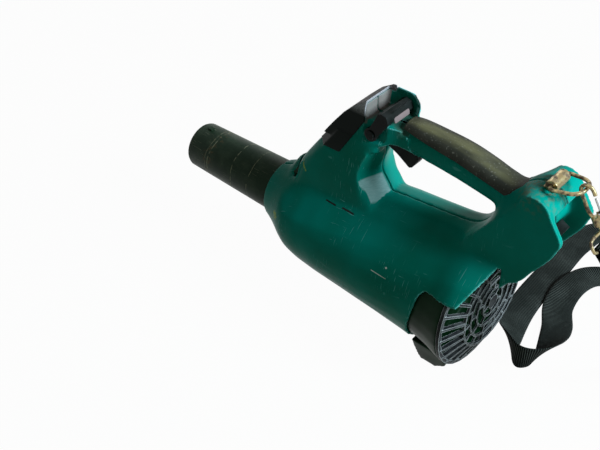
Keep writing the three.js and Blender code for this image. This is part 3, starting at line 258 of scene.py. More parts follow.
class Finish:
    """A material under construction: its tree, its coordinates and its Principled shader."""

    def __init__(self, name, roughness=0.5, metallic=0.0, specular=0.5):
        self.material = bpy.data.materials.new(name)
        self.material.use_nodes = True
        self.tree = self.material.node_tree
        self.shader = self.tree.nodes["Principled BSDF"]
        self.shader.inputs["Roughness"].default_value = roughness
        self.shader.inputs["Metallic"].default_value = metallic
        self.shader.inputs["Specular IOR Level"].default_value = specular
        self.place = self.tree.nodes.new("ShaderNodeTexCoord").outputs["Object"]

    def node(self, kind, settings=None, **inputs):
        """Adds a node. Settings are set first, then each input is linked or given its value."""
        made = self.tree.nodes.new(kind)
        for key, value in (settings or {}).items():
            setattr(made, key, value)
        for key, value in inputs.items():
            socket = made.inputs[key.replace("_", " ")]
            if isinstance(value, Value):
                self.tree.links.new(value.socket, socket)
            elif isinstance(value, bpy.types.NodeSocket):
                self.tree.links.new(value, socket)
            else:
                socket.default_value = value
        return made

    def vectors(self, operation, first, second):
        """A Vector Math node on two vectors, each a socket or three numbers."""
        made = self.node("ShaderNodeVectorMath", {"operation": operation})
        for place, vector in enumerate((first, second)):
            if isinstance(vector, bpy.types.NodeSocket):
                self.tree.links.new(vector, made.inputs[place])
            else:
                made.inputs[place].default_value = vector
        return made

    def value(self, socket):
        return Value(self.tree, socket)

    def stretched(self, scale, turn=(0, 0, 0)):
        """Object coordinates, turned and then stretched, for marks that run one way."""
        return self.node("ShaderNodeMapping", Vector=self.place, Scale=scale, Rotation=turn).outputs[0]

    def noise(self, scale, detail=4.0, vector=None):
        made = self.node("ShaderNodeTexNoise", Vector=vector or self.place, Scale=scale, Detail=detail)
        return self.value(made.outputs[0])

    def axis(self, number):
        """One coordinate of the place on the object: 0 for x, 1 for y and 2 for z."""
        return self.value(self.node("ShaderNodeSeparateXYZ", Vector=self.place).outputs[number])

    def slab(self, number, rise=None, fall=None):
        """1 inside a slab across one axis. Rise and fall each say where a slope starts and ends."""
        place = self.axis(number)
        inside = place.ramp(*rise) if rise else 1.0
        return (1 - place.ramp(*fall)) * inside if fall else inside

    def own_map(self):
        """The piece's own UV map, as two values."""
        parts = self.node("ShaderNodeSeparateXYZ", Vector=self.node("ShaderNodeUVMap").outputs[0])
        return self.value(parts.outputs[0]), self.value(parts.outputs[1])

    def near(self, centre, reach):
        """1 at a point and 0 beyond reach."""
        far = self.vectors("DISTANCE", self.place, centre).outputs["Value"]
        return 1 - self.value(far).ramp(0, reach)

    def streak(self, start, end, reach):
        """1 on the line from start to end and 0 beyond reach from it."""
        start, end = Vector(start), Vector(end)
        run = (end - start).normalized()
        from_start = self.vectors("SUBTRACT", self.place, start).outputs[0]
        along = self.value(self.vectors("DOT_PRODUCT", from_start, run).outputs["Value"])
        held = along.clamp(0, (end - start).length)
        foot = self.node("ShaderNodeVectorMath", {"operation": "SCALE"}, Scale=held)
        foot.inputs[0].default_value = run
        far = self.vectors("DISTANCE", from_start, foot.outputs[0]).outputs["Value"]
        return 1 - self.value(far).ramp(0, reach)

    def facing(self, direction, low, high):
        """0 where the surface turns away from a direction and 1 where it faces it."""
        normal = self.node("ShaderNodeNewGeometry").outputs["Normal"]
        dot = self.vectors("DOT_PRODUCT", normal, Vector(direction).normalized())
        return self.value(dot.outputs["Value"]).ramp(low, high)

    def edges(self, radius, low, high):
        """1 on sharp corners, where the bevelled normal leaves the true one."""
        bevel = self.node("ShaderNodeBevel", {"samples": BEVEL_SAMPLES}, Radius=radius).outputs[0]
        true = self.node("ShaderNodeNewGeometry").outputs["Normal"]
        dot = self.vectors("DOT_PRODUCT", bevel, true)
        return (1 - self.value(dot.outputs["Value"])).ramp(low, high)

    def mix(self, amount, first, second):
        """Blends two colours. Each is a colour socket or three numbers."""
        made = self.tree.nodes.new("ShaderNodeMix")
        made.data_type = "RGBA"
        self.tree.links.new(amount.socket, made.inputs[0])
        for place, colour in ((6, first), (7, second)):
            if isinstance(colour, tuple):
                made.inputs[place].default_value = (*colour, 1)
            else:
                self.tree.links.new(colour, made.inputs[place])
        return made.outputs[2]

    def colour(self, socket):
        self.tree.links.new(socket, self.shader.inputs["Base Color"])

    def roughness(self, value):
        self.tree.links.new(value.socket, self.shader.inputs["Roughness"])

    def metallic(self, value):
        self.tree.links.new(value.socket, self.shader.inputs["Metallic"])

    def bump(self, height, depth):
        """Depth is the height of a full step of the pattern."""
        made = self.node("ShaderNodeBump", Height=height, Distance=depth, Strength=1.0)
        self.tree.links.new(made.outputs[0], self.shader.inputs["Normal"])

    def done(self):
        print("finish", self.material.name, "nodes", len(self.tree.nodes))
        return self.material


print("finish tools", [name for name in vars(Finish) if not name.startswith("_")])

# %% [markdown]
# The body is moulded nylon in one teal. Years of use show as a broad cloud of a deeper teal,
# fine scratches in two directions and paler rubbed edges, most of all along the hood's rim.
# Scratches are noise stretched along one axis and cut off near its crest, which gives thin
# straight lines without drawing any.

# %% Teal: scratches and rubbed edges
TEAL = (0.0, 0.22, 0.175)
TEAL_DEEP = (0.0, 0.145, 0.10)
TEAL_PALE = (0.26, 0.66, 0.64)
TEAL_SCRATCHES = (
    # stretch of each axis, turn, share of the noise above which a line shows
    ((900, 30, 60), (0.2, 0.5, 0.7), 0.66),
    ((40, 700, 90), (0.9, 0.1, 0.4), 0.67),
)
SCRATCH_EDGE = 0.03
HOOD_RIM = (
    (-0.122, 0.0205, 0.3115), (-0.100, 0.0205, 0.3150),
    (-0.085, 0.0215, 0.3065), (-0.073, 0.0215, 0.2900),
)
HOOD_RIM_REACH = 0.0035


def scratches(f, stretch, turn, sharp):
    """Thin straight marks: stretched noise above a level, only inside a second noise's patches."""
    drawn = f.noise(1.0, 2.0, f.stretched(stretch, turn))
    patches = f.noise(14, 2.0)
    return drawn.ramp(sharp, sharp + SCRATCH_EDGE) * patches.ramp(0.5, 0.62)


def rubbed_edges(f):
    """Pale where a corner is sharp, and all along the hood's rim."""
    worn = f.edges(0.0018, 0.01, 0.09) * f.noise(60, 3.0).ramp(0.30, 0.50)
    for start, end in zip(HOOD_RIM, HOOD_RIM[1:]):
        worn = worn.either(f.streak(start, end, HOOD_RIM_REACH).ramp(0.1, 0.5))
    return worn


print("scratch directions", len(TEAL_SCRATCHES), "rim streaks", len(HOOD_RIM) - 1)

# %% [markdown]
# Some marks belong to one place. The steel ring has left rust where it hangs, dust lies in the
# pocket under the hood, and the pocket's front lip is knocked grey. The facet at the post's foot
# carries a pale painted highlight with a grain across it, a spot and two streaks by the pipe are
# painted yellow-green highlights, and one gouge marks the flank.
# Each is a mask from a place and a reach, broken up by noise.

# %% Teal: marks in one place
RUST = (0.20, 0.085, 0.03)
RUST_OFFSET = Vector((-0.004, -0.012, -0.008))
RUST_REACH = 0.034
POCKET_DIRT = (0.045, 0.05, 0.034)
POCKET_SPOTS = (((-0.106, 0.004, 0.283), 0.026), ((-0.084, -0.006, 0.284), 0.016))
POCKET_FLOOR = (0.268, 0.272)
KNOCKED_GREY = (0.19, 0.130, 0.125)
LIP_FACES = (1, 0, 0.3)
LIP_SLABS = ((2, (0.280, 0.283), None), (0, None, (-0.112, -0.108)))
# The pale colour of the painted highlight on the facet at the post's foot.
FOOT_HIGHLIGHT_PALE = (0.36, 0.50, 0.50)
FOOT_FACES = (0.77, -0.31, 0.56)
FOOT_SLABS = (
    (1, None, (-0.0045, -0.0025)),
    (2, (0.181, 0.184), (0.2075, 0.2095)),
    (0, (-0.126, -0.124), (-0.094, -0.092)),
)
# Painted yellow-green highlights: one spot by the pipe and two streaks above it.
HIGHLIGHT_YELLOW_GREEN = (0.36, 0.46, 0.06)
HIGHLIGHT_SPOT = ((-0.2335, -0.0575, 0.1120), 0.0095)
HIGHLIGHT_STREAKS = (
    ((-0.2093, -0.0296, 0.1936), (-0.2021, -0.0361, 0.1859), 0.003),
    ((-0.236, 0.004, 0.179), (-0.232, -0.004, 0.180), 0.004),
)
BARE_NYLON = (0.6, 0.62, 0.55)
GOUGE = ((-0.0704, -0.0729, 0.1294), (-0.0489, -0.0748, 0.1299), 0.0008)
CHIP = ((-0.0526, -0.0692, 0.1407), 0.002)


def ring_stain(f):
    """Rust round the hanger, in patches."""
    low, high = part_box("hanger_bracket")
    spot = f.near(tuple((low + high) / 2 + RUST_OFFSET), RUST_REACH)
    return spot * f.noise(170, 4.0).ramp(0.47, 0.63)


def pocket_dust(f):
    """Dust over the pocket's floor, in two overlapping spots."""
    first, second = (f.near(*spot).ramp(0.05, 0.3) for spot in POCKET_SPOTS)
    return first.either(second) * f.slab(2, POCKET_FLOOR) * (f.noise(120, 3.0) * 0.6 + 0.3)


def inside_slabs(f, mask, slabs):
    """The part of a mask that lies inside every slab."""
    for number, rise, fall in slabs:
        mask = mask * f.slab(number, rise, fall)
    return mask


def knocked_lip(f):
    """The upper front lip of the pocket, where it faces back."""
    lip = inside_slabs(f, f.facing(LIP_FACES, 0.3, 0.5), LIP_SLABS)
    return lip * (f.noise(500, 4.0) * 0.4 + 0.6)


def painted_foot_highlight(f):
    """A painted highlight on the facet at the post's foot, with a grain across it."""
    foot = inside_slabs(f, f.facing(FOOT_FACES, 0.93, 0.965), FOOT_SLABS)
    return foot * (f.noise(1.0, 3.0, f.stretched((150, 150, 1500))) * 0.6 + 0.3)


def yellow_green_highlights(f):
    """Painted yellow-green highlights: a spot by the pipe and two streaks above it."""
    patch = f.near(*HIGHLIGHT_SPOT).ramp(0.2, 0.6)
    for streak in HIGHLIGHT_STREAKS:
        patch = patch.either(f.streak(*streak).ramp(0.2, 0.7))
    return patch * f.noise(260, 4.0).ramp(0.42, 0.52) * 0.9


def gouge(f):
    """One cut along the flank and a chip above its end."""
    return f.streak(*GOUGE).ramp(0.1, 0.6).either(f.near(*CHIP).ramp(0.2, 0.6))


print("rust reach", RUST_REACH, "green streaks", len(HIGHLIGHT_STREAKS))

# %% [markdown]
# The teal finish lays these masks over the two teals, one after another, so that a later mark
# covers an earlier one as it does on the real shell. Its specular level is low, because the
# white ground would otherwise lie over the deep colour as a grey wash.

# %% Teal body plastic
def teal_plastic():
    """Two teals in a broad cloud, then each kind of wear laid over them in turn."""
    f = Finish("teal_plastic", specular=0.02)
    marks = scratches(f, *TEAL_SCRATCHES[0]).either(scratches(f, *TEAL_SCRATCHES[1]))
    stain = ring_stain(f)
    colour = f.mix(f.noise(9, 3.0).ramp(0.35, 0.7), TEAL_DEEP, TEAL)
    for mask, over in (
        ((marks * 0.35).either(rubbed_edges(f) * 0.8), TEAL_PALE),
        (stain * 0.75, RUST),
        (pocket_dust(f), POCKET_DIRT),
        (knocked_lip(f), KNOCKED_GREY),
        # painted highlight on the facet at the post's foot
        (painted_foot_highlight(f), FOOT_HIGHLIGHT_PALE),
        # painted yellow-green highlights by the pipe
        (yellow_green_highlights(f), HIGHLIGHT_YELLOW_GREEN),
        (gouge(f), BARE_NYLON),
    ):
        colour = f.mix(mask, colour, over)
    f.colour(colour)
    f.roughness((f.noise(22, 3.0) * 0.16 + 0.24 + marks * 0.3 + stain * 0.3).clamp())
    f.bump(f.noise(650, 2.0) * 0.5 - marks, 0.00006)
    return f.done()


finish_teal = teal_plastic()

# %% [markdown]
# The small black and grey mouldings share one recipe: a dusty cloud, a fine grain and paler
# rubbed edges. The lever is glossier, the intake is a green-black, and the grille's ribs are
# rubbed pale along every edge.

# %% Plain plastics
def plain_plastic(name, colour, worn, roughness, edge=0.0008, specular=0.035, wear=0.38):
    """Edge is the reach of the rubbed edges, and wear the share of them that stays unrubbed."""
    f = Finish(name, specular=specular)
    dust = f.noise(40, 4.0).ramp(0.45, 0.75)
    rubbed = f.edges(edge, 0.01, 0.12) * f.noise(90, 3.0).ramp(wear, wear + 0.2)
    half_worn = tuple((a + b) / 2 for a, b in zip(colour, worn))
    base = f.mix(dust * 0.35, colour, half_worn)
    f.colour(f.mix(rubbed * 0.8, base, worn))
    f.roughness((f.noise(30, 3.0) * 0.2 + roughness - 0.1).clamp())
    f.bump(f.noise(900, 2.0), 0.00004)
    return f.done()


finish_black = plain_plastic("black_plastic", (0.006, 0.008, 0.007), (0.10, 0.105, 0.10), 0.42)
# On the lever the pale rubbed edges are wear and also a painted highlight along its glossy edges.
finish_gloss = plain_plastic("gloss_black", (0.004, 0.006, 0.005), (0.09, 0.09, 0.09), 0.2, specular=0.05)
finish_intake = plain_plastic("intake_plastic", (0.003, 0.018, 0.006), (0.02, 0.075, 0.03), 0.35)
finish_grille = plain_plastic(
    "grille_plastic", (0.014, 0.015, 0.016), (0.46, 0.46, 0.45), 0.4, edge=0.0013, wear=0.22
)
finish_grey = plain_plastic("grey_plastic", (0.16, 0.115, 0.11), (0.26, 0.22, 0.21), 0.5)

# %% [markdown]
# The ring and hook are steel plated in yellow zinc, which browns in patches where it has worn
# through. The same recipe, with other colours and less bloom, serves the bearings, the windings
# and the contacts. Bloom is rougher and less metallic than the bare plate.

# %% Metals
def metal(name, colour, stain, roughness, bloomed):
    """Bloomed lowers the level of noise above which the stain shows."""
    f = Finish(name, roughness=roughness, metallic=1.0)
    bloom = f.noise(180, 5.0).ramp(0.62 - bloomed, 0.8 - bloomed)
    f.colour(f.mix(bloom, colour, stain))
    f.roughness((bloom * 0.4 + roughness).clamp())
    f.metallic(1 - bloom * 0.8)
    f.bump(f.noise(700, 2.0), 0.00003)
    return f.done()


finish_zinc = metal("zinc_plate", (0.34, 0.27, 0.14), (0.07, 0.038, 0.018), 0.32, 0.17)
finish_steel = metal("bare_steel", (0.50, 0.50, 0.49), (0.20, 0.14, 0.09), 0.30, 0.0)
finish_copper = metal("copper_winding", (0.62, 0.28, 0.12), (0.25, 0.09, 0.03), 0.25, 0.02)
finish_contact = metal("contact_metal", (0.72, 0.56, 0.30), (0.35, 0.22, 0.08), 0.22, 0.0)

# %% [markdown]
# The outlet pipe is greenish black. Pale rings are worn round it, and earth clings by the
# mouth. A ring mark is a band of x, so its mask needs no picture, and a slow
# noise added to x makes it wander as a real rub does.

# %% Pipe plastic
PIPE_DARK = (0.012, 0.026, 0.014)
PIPE_GRIMY = (0.040, 0.062, 0.038)
PIPE_EARTH = (0.16, 0.10, 0.045)
PIPE_RUBBED = (0.30, 0.30, 0.20)
PIPE_WANDER = 0.012
PIPE_RINGS = (
    # x, half width, strength
    (-0.377, 0.0011, 0.9), (-0.382, 0.0008, 0.6), (-0.334, 0.0009, 0.8), (-0.305, 0.0008, 0.9),
)


def pipe_plastic():
    """Rings, earth near the first ring, and fine scratches that run along the pipe."""
    f = Finish("pipe_plastic", specular=0.05)
    grime = f.noise(70, 5.0).ramp(0.42, 0.72)
    base = f.mix(grime * 0.7, PIPE_DARK, PIPE_GRIMY)
    wandering = f.axis(0) + (f.noise(16, 2.0) - 0.5) * PIPE_WANDER
    first, second, third, fourth = (
        (1 - (wandering - place).size().ramp(0, wide)) * strength for place, wide, strength in PIPE_RINGS
    )
    rings = first.either(second).either(third).either(fourth) * f.noise(130, 3.0).ramp(0.4, 0.52)
    earth = 1 - (wandering - PIPE_RINGS[0][0]).size().ramp(0.001, 0.012)
    earth = earth * f.noise(240, 4.0).ramp(0.52, 0.66)
    fine = scratches(f, (60, 900, 900), (0, 0, 0), 0.66)
    f.colour(f.mix(rings.either(fine * 0.35), f.mix(earth * 0.5, base, PIPE_EARTH), PIPE_RUBBED))
    f.roughness((f.noise(26, 3.0) * 0.22 + 0.30 + rings * 0.2).clamp())
    f.bump(f.noise(500, 3.0) * 0.6 - rings, 0.00008)
    return f.done()


finish_pipe = pipe_plastic()

# %% [markdown]
# The grip's rubber is matt black. An olive-grey painted highlight lies on its top, mostly towards
# the front, and pale specks of dust sit in its grain. The painted highlight follows the direction
# that the surface faces, so it runs along the crown without a drawn edge.

# %% Grip rubber
RUBBER_DARK = (0.012, 0.013, 0.009)
RUBBER_SOILED = (0.034, 0.033, 0.024)
# Olive-grey colour of the painted highlight on the grip's top.
RUBBER_HIGHLIGHT = (0.15, 0.135, 0.062)
RUBBER_SPECK = (0.16, 0.15, 0.12)
HIGHLIGHT_FACES = (0.2, -0.15, 0.96)


def grip_rubber():
    """Painted highlight = faces up, times a fade to the rear, times noise stretched along the handle."""
    f = Finish("grip_rubber", specular=0.1)
    base = f.mix(f.noise(30, 5.0).ramp(0.35, 0.7), RUBBER_DARK, RUBBER_SOILED)
    low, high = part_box("grip_cover")
    front = 1 - f.axis(0).ramp(low.x + 0.04, high.x - 0.01) * 0.75
    streaky = f.noise(1.0, 4.0, f.stretched((18, 90, 90))).ramp(0.35, 0.62) * 0.8 + 0.2
    # painted highlight on the up-facing top of the grip
    top_highlight = f.facing(HIGHLIGHT_FACES, 0.88, 1.0) * front * streaky
    colour = f.mix(top_highlight * 0.76, base, RUBBER_HIGHLIGHT)
    specks = f.noise(420, 3.0).ramp(0.62, 0.7)
    f.colour(f.mix(specks * 0.5, colour, RUBBER_SPECK))
    f.roughness((f.noise(40, 3.0) * 0.2 + 0.5 - top_highlight * 0.1).clamp())
    f.bump(f.noise(1100, 3.0), 0.00012)
    return f.done()


finish_rubber = grip_rubber()

# %% [markdown]
# A black lacquered strip runs up the front of the post, and a grey painted reflection lies at its
# top, where the strip is also rougher. Height alone tells the two apart, so one ramp of z mixes both the
# colour and the gloss.

# %% Gloss inlay
INLAY_BLACK = (0.006, 0.010, 0.008)
# Grey of the painted reflection at the strip's top.
INLAY_REFLECTION_GREY = (0.34, 0.32, 0.33)
REFLECTION_BELOW_TOP = (0.024, 0.014)


def gloss_inlay():
    """The painted reflection rises from 0 to 1 between two heights below the strip's top."""
    f = Finish("gloss_inlay", specular=0.035)
    low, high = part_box("bumper_trim")
    reflected_top = f.axis(2).ramp(*(high.z - drop for drop in REFLECTION_BELOW_TOP))
    speckle = f.noise(600, 4.0).ramp(0.3, 0.6)
    # painted reflection: grey mixed in towards the top
    f.colour(f.mix(reflected_top * (speckle * 0.6 + 0.4), INLAY_BLACK, INLAY_REFLECTION_GREY))
    f.roughness((reflected_top * 0.45 + f.noise(30, 3.0) * 0.1 + 0.2).clamp())
    f.bump(f.noise(300, 3.0) * reflected_top, 0.0002)
    return f.done()


finish_inlay = gloss_inlay()

# %% [markdown]
# Webbing is a thick weave whose ribs run across the strap. Two sines of the strip's own UV map,
# which is in metres, give the ribs and the yarns on them, so the weave keeps its size and follows
# the strap round every bend. The crests are painted pale as a painted sheen and the valleys dark
# as painted shade, and dust lies on the crests.

# %% Webbing
WEB_WIDTH = 0.038
WEB_THICK = 0.002
RIB_PITCH = 0.0024
YARN_PITCH = 0.0016
# Painted shade in the rib valleys and painted sheen on the rib crests.
WEB_VALLEY_SHADE = (0.0015, 0.0020, 0.0018)
WEB_CREST_SHEEN = (0.040, 0.046, 0.040)
WEB_DUST = (0.16, 0.17, 0.15)


def webbing():
    """Rib = sine of the length, and yarn = sine of the width, shifted from one rib to the next."""
    f = Finish("webbing", specular=0.04)
    across, along = f.own_map()
    rib = (along * (2 * math.pi / RIB_PITCH)).sine() * 0.5 + 0.5
    shift = (along * (math.pi / RIB_PITCH)).sine() * 1.5
    yarn = (across * (2 * math.pi / YARN_PITCH) + shift).sine() * 0.5 + 0.5
    middle = 1 - (across - WEB_WIDTH / 2).size().ramp(0.0165, 0.018)
    crest_sheen_and_dust = rib.ramp(0.45, 0.9) * (yarn * 0.6 + 0.4)
    dusty = f.noise(25, 3.0).ramp(0.45, 0.8)
    # painted shade in the valleys and painted sheen on the crests
    colour = f.mix(crest_sheen_and_dust, WEB_VALLEY_SHADE, WEB_CREST_SHEEN)
    f.colour(f.mix(dusty * crest_sheen_and_dust * 0.6, colour, WEB_DUST))
    f.roughness((0.9 - rib * 0.25).clamp())
    f.bump(rib * (yarn * 0.4 + 0.6) * (middle * 0.7 + 0.3), 0.0005)
    return f.done()


finish_webbing = webbing()

# %% [markdown]
# The record names a material slot for each CAD node, so most nodes take their finish from it.
# Four nodes look different from the rest of their slot, and they are given by name.

# %% Finishes on the CAD nodes
SLOTS = {
    "teal_shell": finish_teal, "black_plastic": finish_black, "pipe_plastic": finish_pipe,
    "grip_rubber": finish_rubber, "gloss_inlay": finish_inlay, "zinc_plate": finish_zinc,
    "bare_steel": finish_steel, "copper_winding": finish_copper, "contact_metal": finish_contact,
    "grey_plastic": finish_grey, "webbing": finish_webbing,
}
BY_NAME = {
    "intake_grille": finish_grille, "lever_pin": finish_black, "cruise_lever": finish_gloss,
    "intake_housing": finish_intake,
}
for name, node in nodes.items():
    node.data.materials.clear()
    node.data.materials.append(BY_NAME.get(name, SLOTS[slot_of[name]]))
print("nodes finished", len(nodes), "by name", len(BY_NAME))

# %% [markdown]
# A CAD node is a shell of loose triangles, so it looks faceted. A small geometry-nodes group,
# used as a modifier, welds the corners and smooths every edge that bends less than 32 degrees.
# The node's own mesh isn't touched.

# %% Smooth the CAD nodes
SHARP_ANGLE = math.radians(32)
WELD_REACH = 0.000002


def smoothing_group():
    group = bpy.data.node_groups.new("weld_and_smooth", "GeometryNodeTree")
    group.interface.new_socket("Geometry", in_out="INPUT", socket_type="NodeSocketGeometry")
    group.interface.new_socket("Geometry", in_out="OUTPUT", socket_type="NodeSocketGeometry")
    way_in = group.nodes.new("NodeGroupInput")
    way_out = group.nodes.new("NodeGroupOutput")
    weld = group.nodes.new("GeometryNodeMergeByDistance")
    weld.inputs["Distance"].default_value = WELD_REACH
    angle = group.nodes.new("GeometryNodeInputMeshEdgeAngle")
    sharp = group.nodes.new("FunctionNodeCompare")
    sharp.data_type = "FLOAT"
    sharp.operation = "LESS_THAN"
    sharp.inputs[1].default_value = SHARP_ANGLE
    faces = group.nodes.new("GeometryNodeSetShadeSmooth")
    edges = group.nodes.new("GeometryNodeSetShadeSmooth")
    edges.domain = "EDGE"
    group.links.new(way_in.outputs[0], weld.inputs[0])
    group.links.new(weld.outputs[0], faces.inputs[0])
    group.links.new(faces.outputs[0], edges.inputs[0])
    group.links.new(angle.outputs["Unsigned Angle"], sharp.inputs[0])
    group.links.new(sharp.outputs[0], edges.inputs["Shade Smooth"])
    group.links.new(edges.outputs[0], way_out.inputs[0])
    return group


weld_and_smooth = smoothing_group()
for node in nodes.values():
    node.modifiers.new("smooth", "NODES").node_group = weld_and_smooth
print("nodes smoothed", len(nodes))

# %% [markdown]
# Injection-moulded shells have soft edges everywhere. Voxel remeshing a welded copy of the CAD
# node gives an even skin, and relaxing that skin only where it is nearly flat takes the facets
# out of the curved faces and keeps the creases. These helpers work on whole arrays of points.

# %% Reading and relaxing a skin
def edge_array(mesh):
    """The two points of each edge, one row for each."""
    ends = np.empty(len(mesh.edges) * 2, int)
    mesh.edges.foreach_get("vertices", ends)
    return ends.reshape(-1, 2)


def point_array(mesh):
    """The place of each point, one row for each."""
    points = np.empty(len(mesh.vertices) * 3)
    mesh.vertices.foreach_get("co", points)
    return points.reshape(-1, 3)


def relaxed(points, edges, weight, rounds):
    """Each round moves a point half way to the mean of its neighbours, times its weight."""
    count = len(points)
    first, second = edges[:, 0], edges[:, 1]
    degree = np.bincount(first, minlength=count) + np.bincount(second, minlength=count)
    pull = (0.5 * weight / np.maximum(degree, 1))[:, None]
    for _ in range(rounds):
        total = np.stack([
            np.bincount(first, points[second, k], count) + np.bincount(second, points[first, k], count)
            for k in range(3)
        ], axis=1)
        points = points + pull * (total - degree[:, None] * points)
    return points


def bend_at_points(mesh):
    """The largest angle, in degrees, between neighbouring faces at each point."""
    normals = np.empty(len(mesh.polygons) * 3)
    mesh.polygons.foreach_get("normal", normals)
    normals = normals.reshape(-1, 3)
    sides = np.empty(len(mesh.polygons), int)
    mesh.polygons.foreach_get("loop_total", sides)
    loop_edge = np.empty(len(mesh.loops), int)
    mesh.loops.foreach_get("edge_index", loop_edge)
    loop_face = np.repeat(np.arange(len(mesh.polygons)), sides)
    order = np.argsort(loop_edge, kind="stable")
    paired = loop_edge[order]
    same = np.flatnonzero(paired[1:] == paired[:-1])
    cosine = np.sum(normals[loop_face[order[same]]] * normals[loop_face[order[same + 1]]], axis=1)
    angle = np.degrees(np.arccos(np.clip(cosine, -1, 1)))
    ends = edge_array(mesh)[paired[same]]
    worst = np.zeros(len(mesh.vertices))
    np.maximum.at(worst, ends[:, 0], angle)
    np.maximum.at(worst, ends[:, 1], angle)
    return worst


print("skin helpers ready, sharp from", round(math.degrees(SHARP_ANGLE)), "degrees")

# %% [markdown]
# A few shapes of the real shell are plainer in the CAD model. Where one only adds material, a
# convex lump is put into the copy before it is remeshed, and the voxels melt the two together.
# Where one only shifts the surface, a function moves the finished skin's points.

# %% The moulding recipe
BEND_KEPT = 26
BEND_RANGE = 12


def with_lumps(mesh, lumps):
    """Adds the convex hull of each set of places to a mesh, as a body of its own."""
    work = bmesh.new()
    work.from_mesh(mesh)
    for places in lumps:
        corners = [work.verts.new(place) for place in places]
        hull = bmesh.ops.convex_hull(work, input=corners)
        faces = [item for item in hull["geom"] if isinstance(item, bmesh.types.BMFace)]
        bmesh.ops.recalc_face_normals(work, faces=faces)
        inside = [item for item in hull["geom_interior"] if isinstance(item, bmesh.types.BMVert)]
        bmesh.ops.delete(work, geom=inside, context="VERTS")
    work.to_mesh(mesh)
    work.free()


def moulded(name, voxel, rounds=30, soften=2, blended=(), shape=None, lumps=()):
    """A finer skin for a CAD node, which it replaces. All of it is softened, and then its flat
    places are relaxed for the given rounds. Weight = (26 - bend) / 12 degrees, held in 0 to 1.
    Blended spots, each a place and a reach, are relaxed however sharply they bend."""
    source = nodes[name]
    made = bpy.data.objects.new(name + "_moulding", source.data.copy())
    with_lumps(made.data, lumps)
    bpy.context.scene.collection.objects.link(made)
    weld = made.modifiers.new("weld", "WELD")
    weld.merge_threshold = WELD_REACH
    remesh = made.modifiers.new("remesh", "REMESH")
    remesh.mode = "VOXEL"
    remesh.voxel_size = voxel
    bpy.context.view_layer.update()
    skin = bpy.data.meshes.new_from_object(made.evaluated_get(bpy.context.evaluated_depsgraph_get()))
    made.modifiers.clear()
    edges = edge_array(skin)
    points = relaxed(point_array(skin), edges, np.ones(len(skin.vertices)), soften)
    skin.vertices.foreach_set("co", points.ravel())
    skin.update()
    weight = np.clip((BEND_KEPT - bend_at_points(skin)) / BEND_RANGE, 0, 1)
    for place, reach in blended:
        far = np.linalg.norm(points - np.array(place), axis=1) / reach
        weight = np.maximum(weight, np.clip(2 - 2 * far, 0, 1))
    if shape:
        points = shape(points)
    skin.vertices.foreach_set("co", relaxed(points, edges, weight, rounds).ravel())
    skin.polygons.foreach_set("use_smooth", np.ones(len(skin.polygons), bool))
    skin.update()
    skin.materials.clear()
    skin.materials.append(source.data.materials[0])
    made.data = skin
    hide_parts(name)
    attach(made, body_of[name])
    print(name, "moulding", len(skin.polygons), "faces")


print("places that bend past", BEND_KEPT, "degrees keep their crease")

# %% [markdown]
# The grip is one long superellipse, squarer than an ellipse, that swells and thins along the
# handle. The hood narrows to meet it, so the moulding of the hood and the rubber sleeve are both
# worked out from the rows below, which are shares of the frame's length and height.

# %% The grip's sections
FRAME_SPAN = (-0.229, 0.129)
FAN_AXIS_Z = 0.1035
FRAME_HEIGHT = 0.212
GRIP_HALF_WIDTH = 0.0185
GRIP_POWER = 0.72
GRIP_ROWS = np.array([
    # share of the length, then the top and the bottom as shares of the height, then the width
    [0.413, 0.905, 0.745, 0.86], [0.45, 0.912, 0.722, 0.94], [0.53, 0.908, 0.722, 1.0],
    [0.62, 0.90, 0.706, 1.0], [0.7, 0.875, 0.685, 0.98], [0.76, 0.848, 0.668, 0.97],
    [0.8, 0.838, 0.66, 1.0], [0.83, 0.855, 0.66, 1.1], [0.85, 0.88, 0.66, 1.2],
])
RUBBER_LOW = np.array([[0.391, 0.882], [0.612, 0.84], [0.807, 0.769]])
RUBBER_WALL = 0.0026
print("grip sections", len(GRIP_ROWS), "rubber", RUBBER_WALL, "m thick")

# %% [markdown]
# The hood over the controls has a collar that must slip under the rubber, a lower edge that
# sweeps up towards the handle, and a well that leaves the trigger room to swing. Moving the
# finished skin's points gives all three, because each is a smooth shift and adds no new face.

# %% The hood's shape
HOOD_X = [-0.104, -0.084, -0.066, -0.0575, -0.056]
HOOD_HALF_WIDTH = [0.0245, 0.0180, 0.0184, 0.0187, 0.04]
HOOD_LOW_Z = 0.236
UNLIMITED = 1
COLLAR_X = (-0.0830, -0.0580)
COLLAR_LOW_Z = 0.2820
COLLAR_FADE = (0.003, 0.004)
WELL_X = (-0.113, -0.060)
WELL_Z = (0.238, 0.268)
WELL_Y = (0.0070, 0.0095)
LIFT_X = [-0.102, -0.092, -0.066, -0.052]
LIFT_Z = [0.240, 0.250, 0.258, 0.274]
LIFT_SHARE = [0, 1, 1, 0]
LIFT_FADE = 0.002
HOOD_LIFT = 0.0085


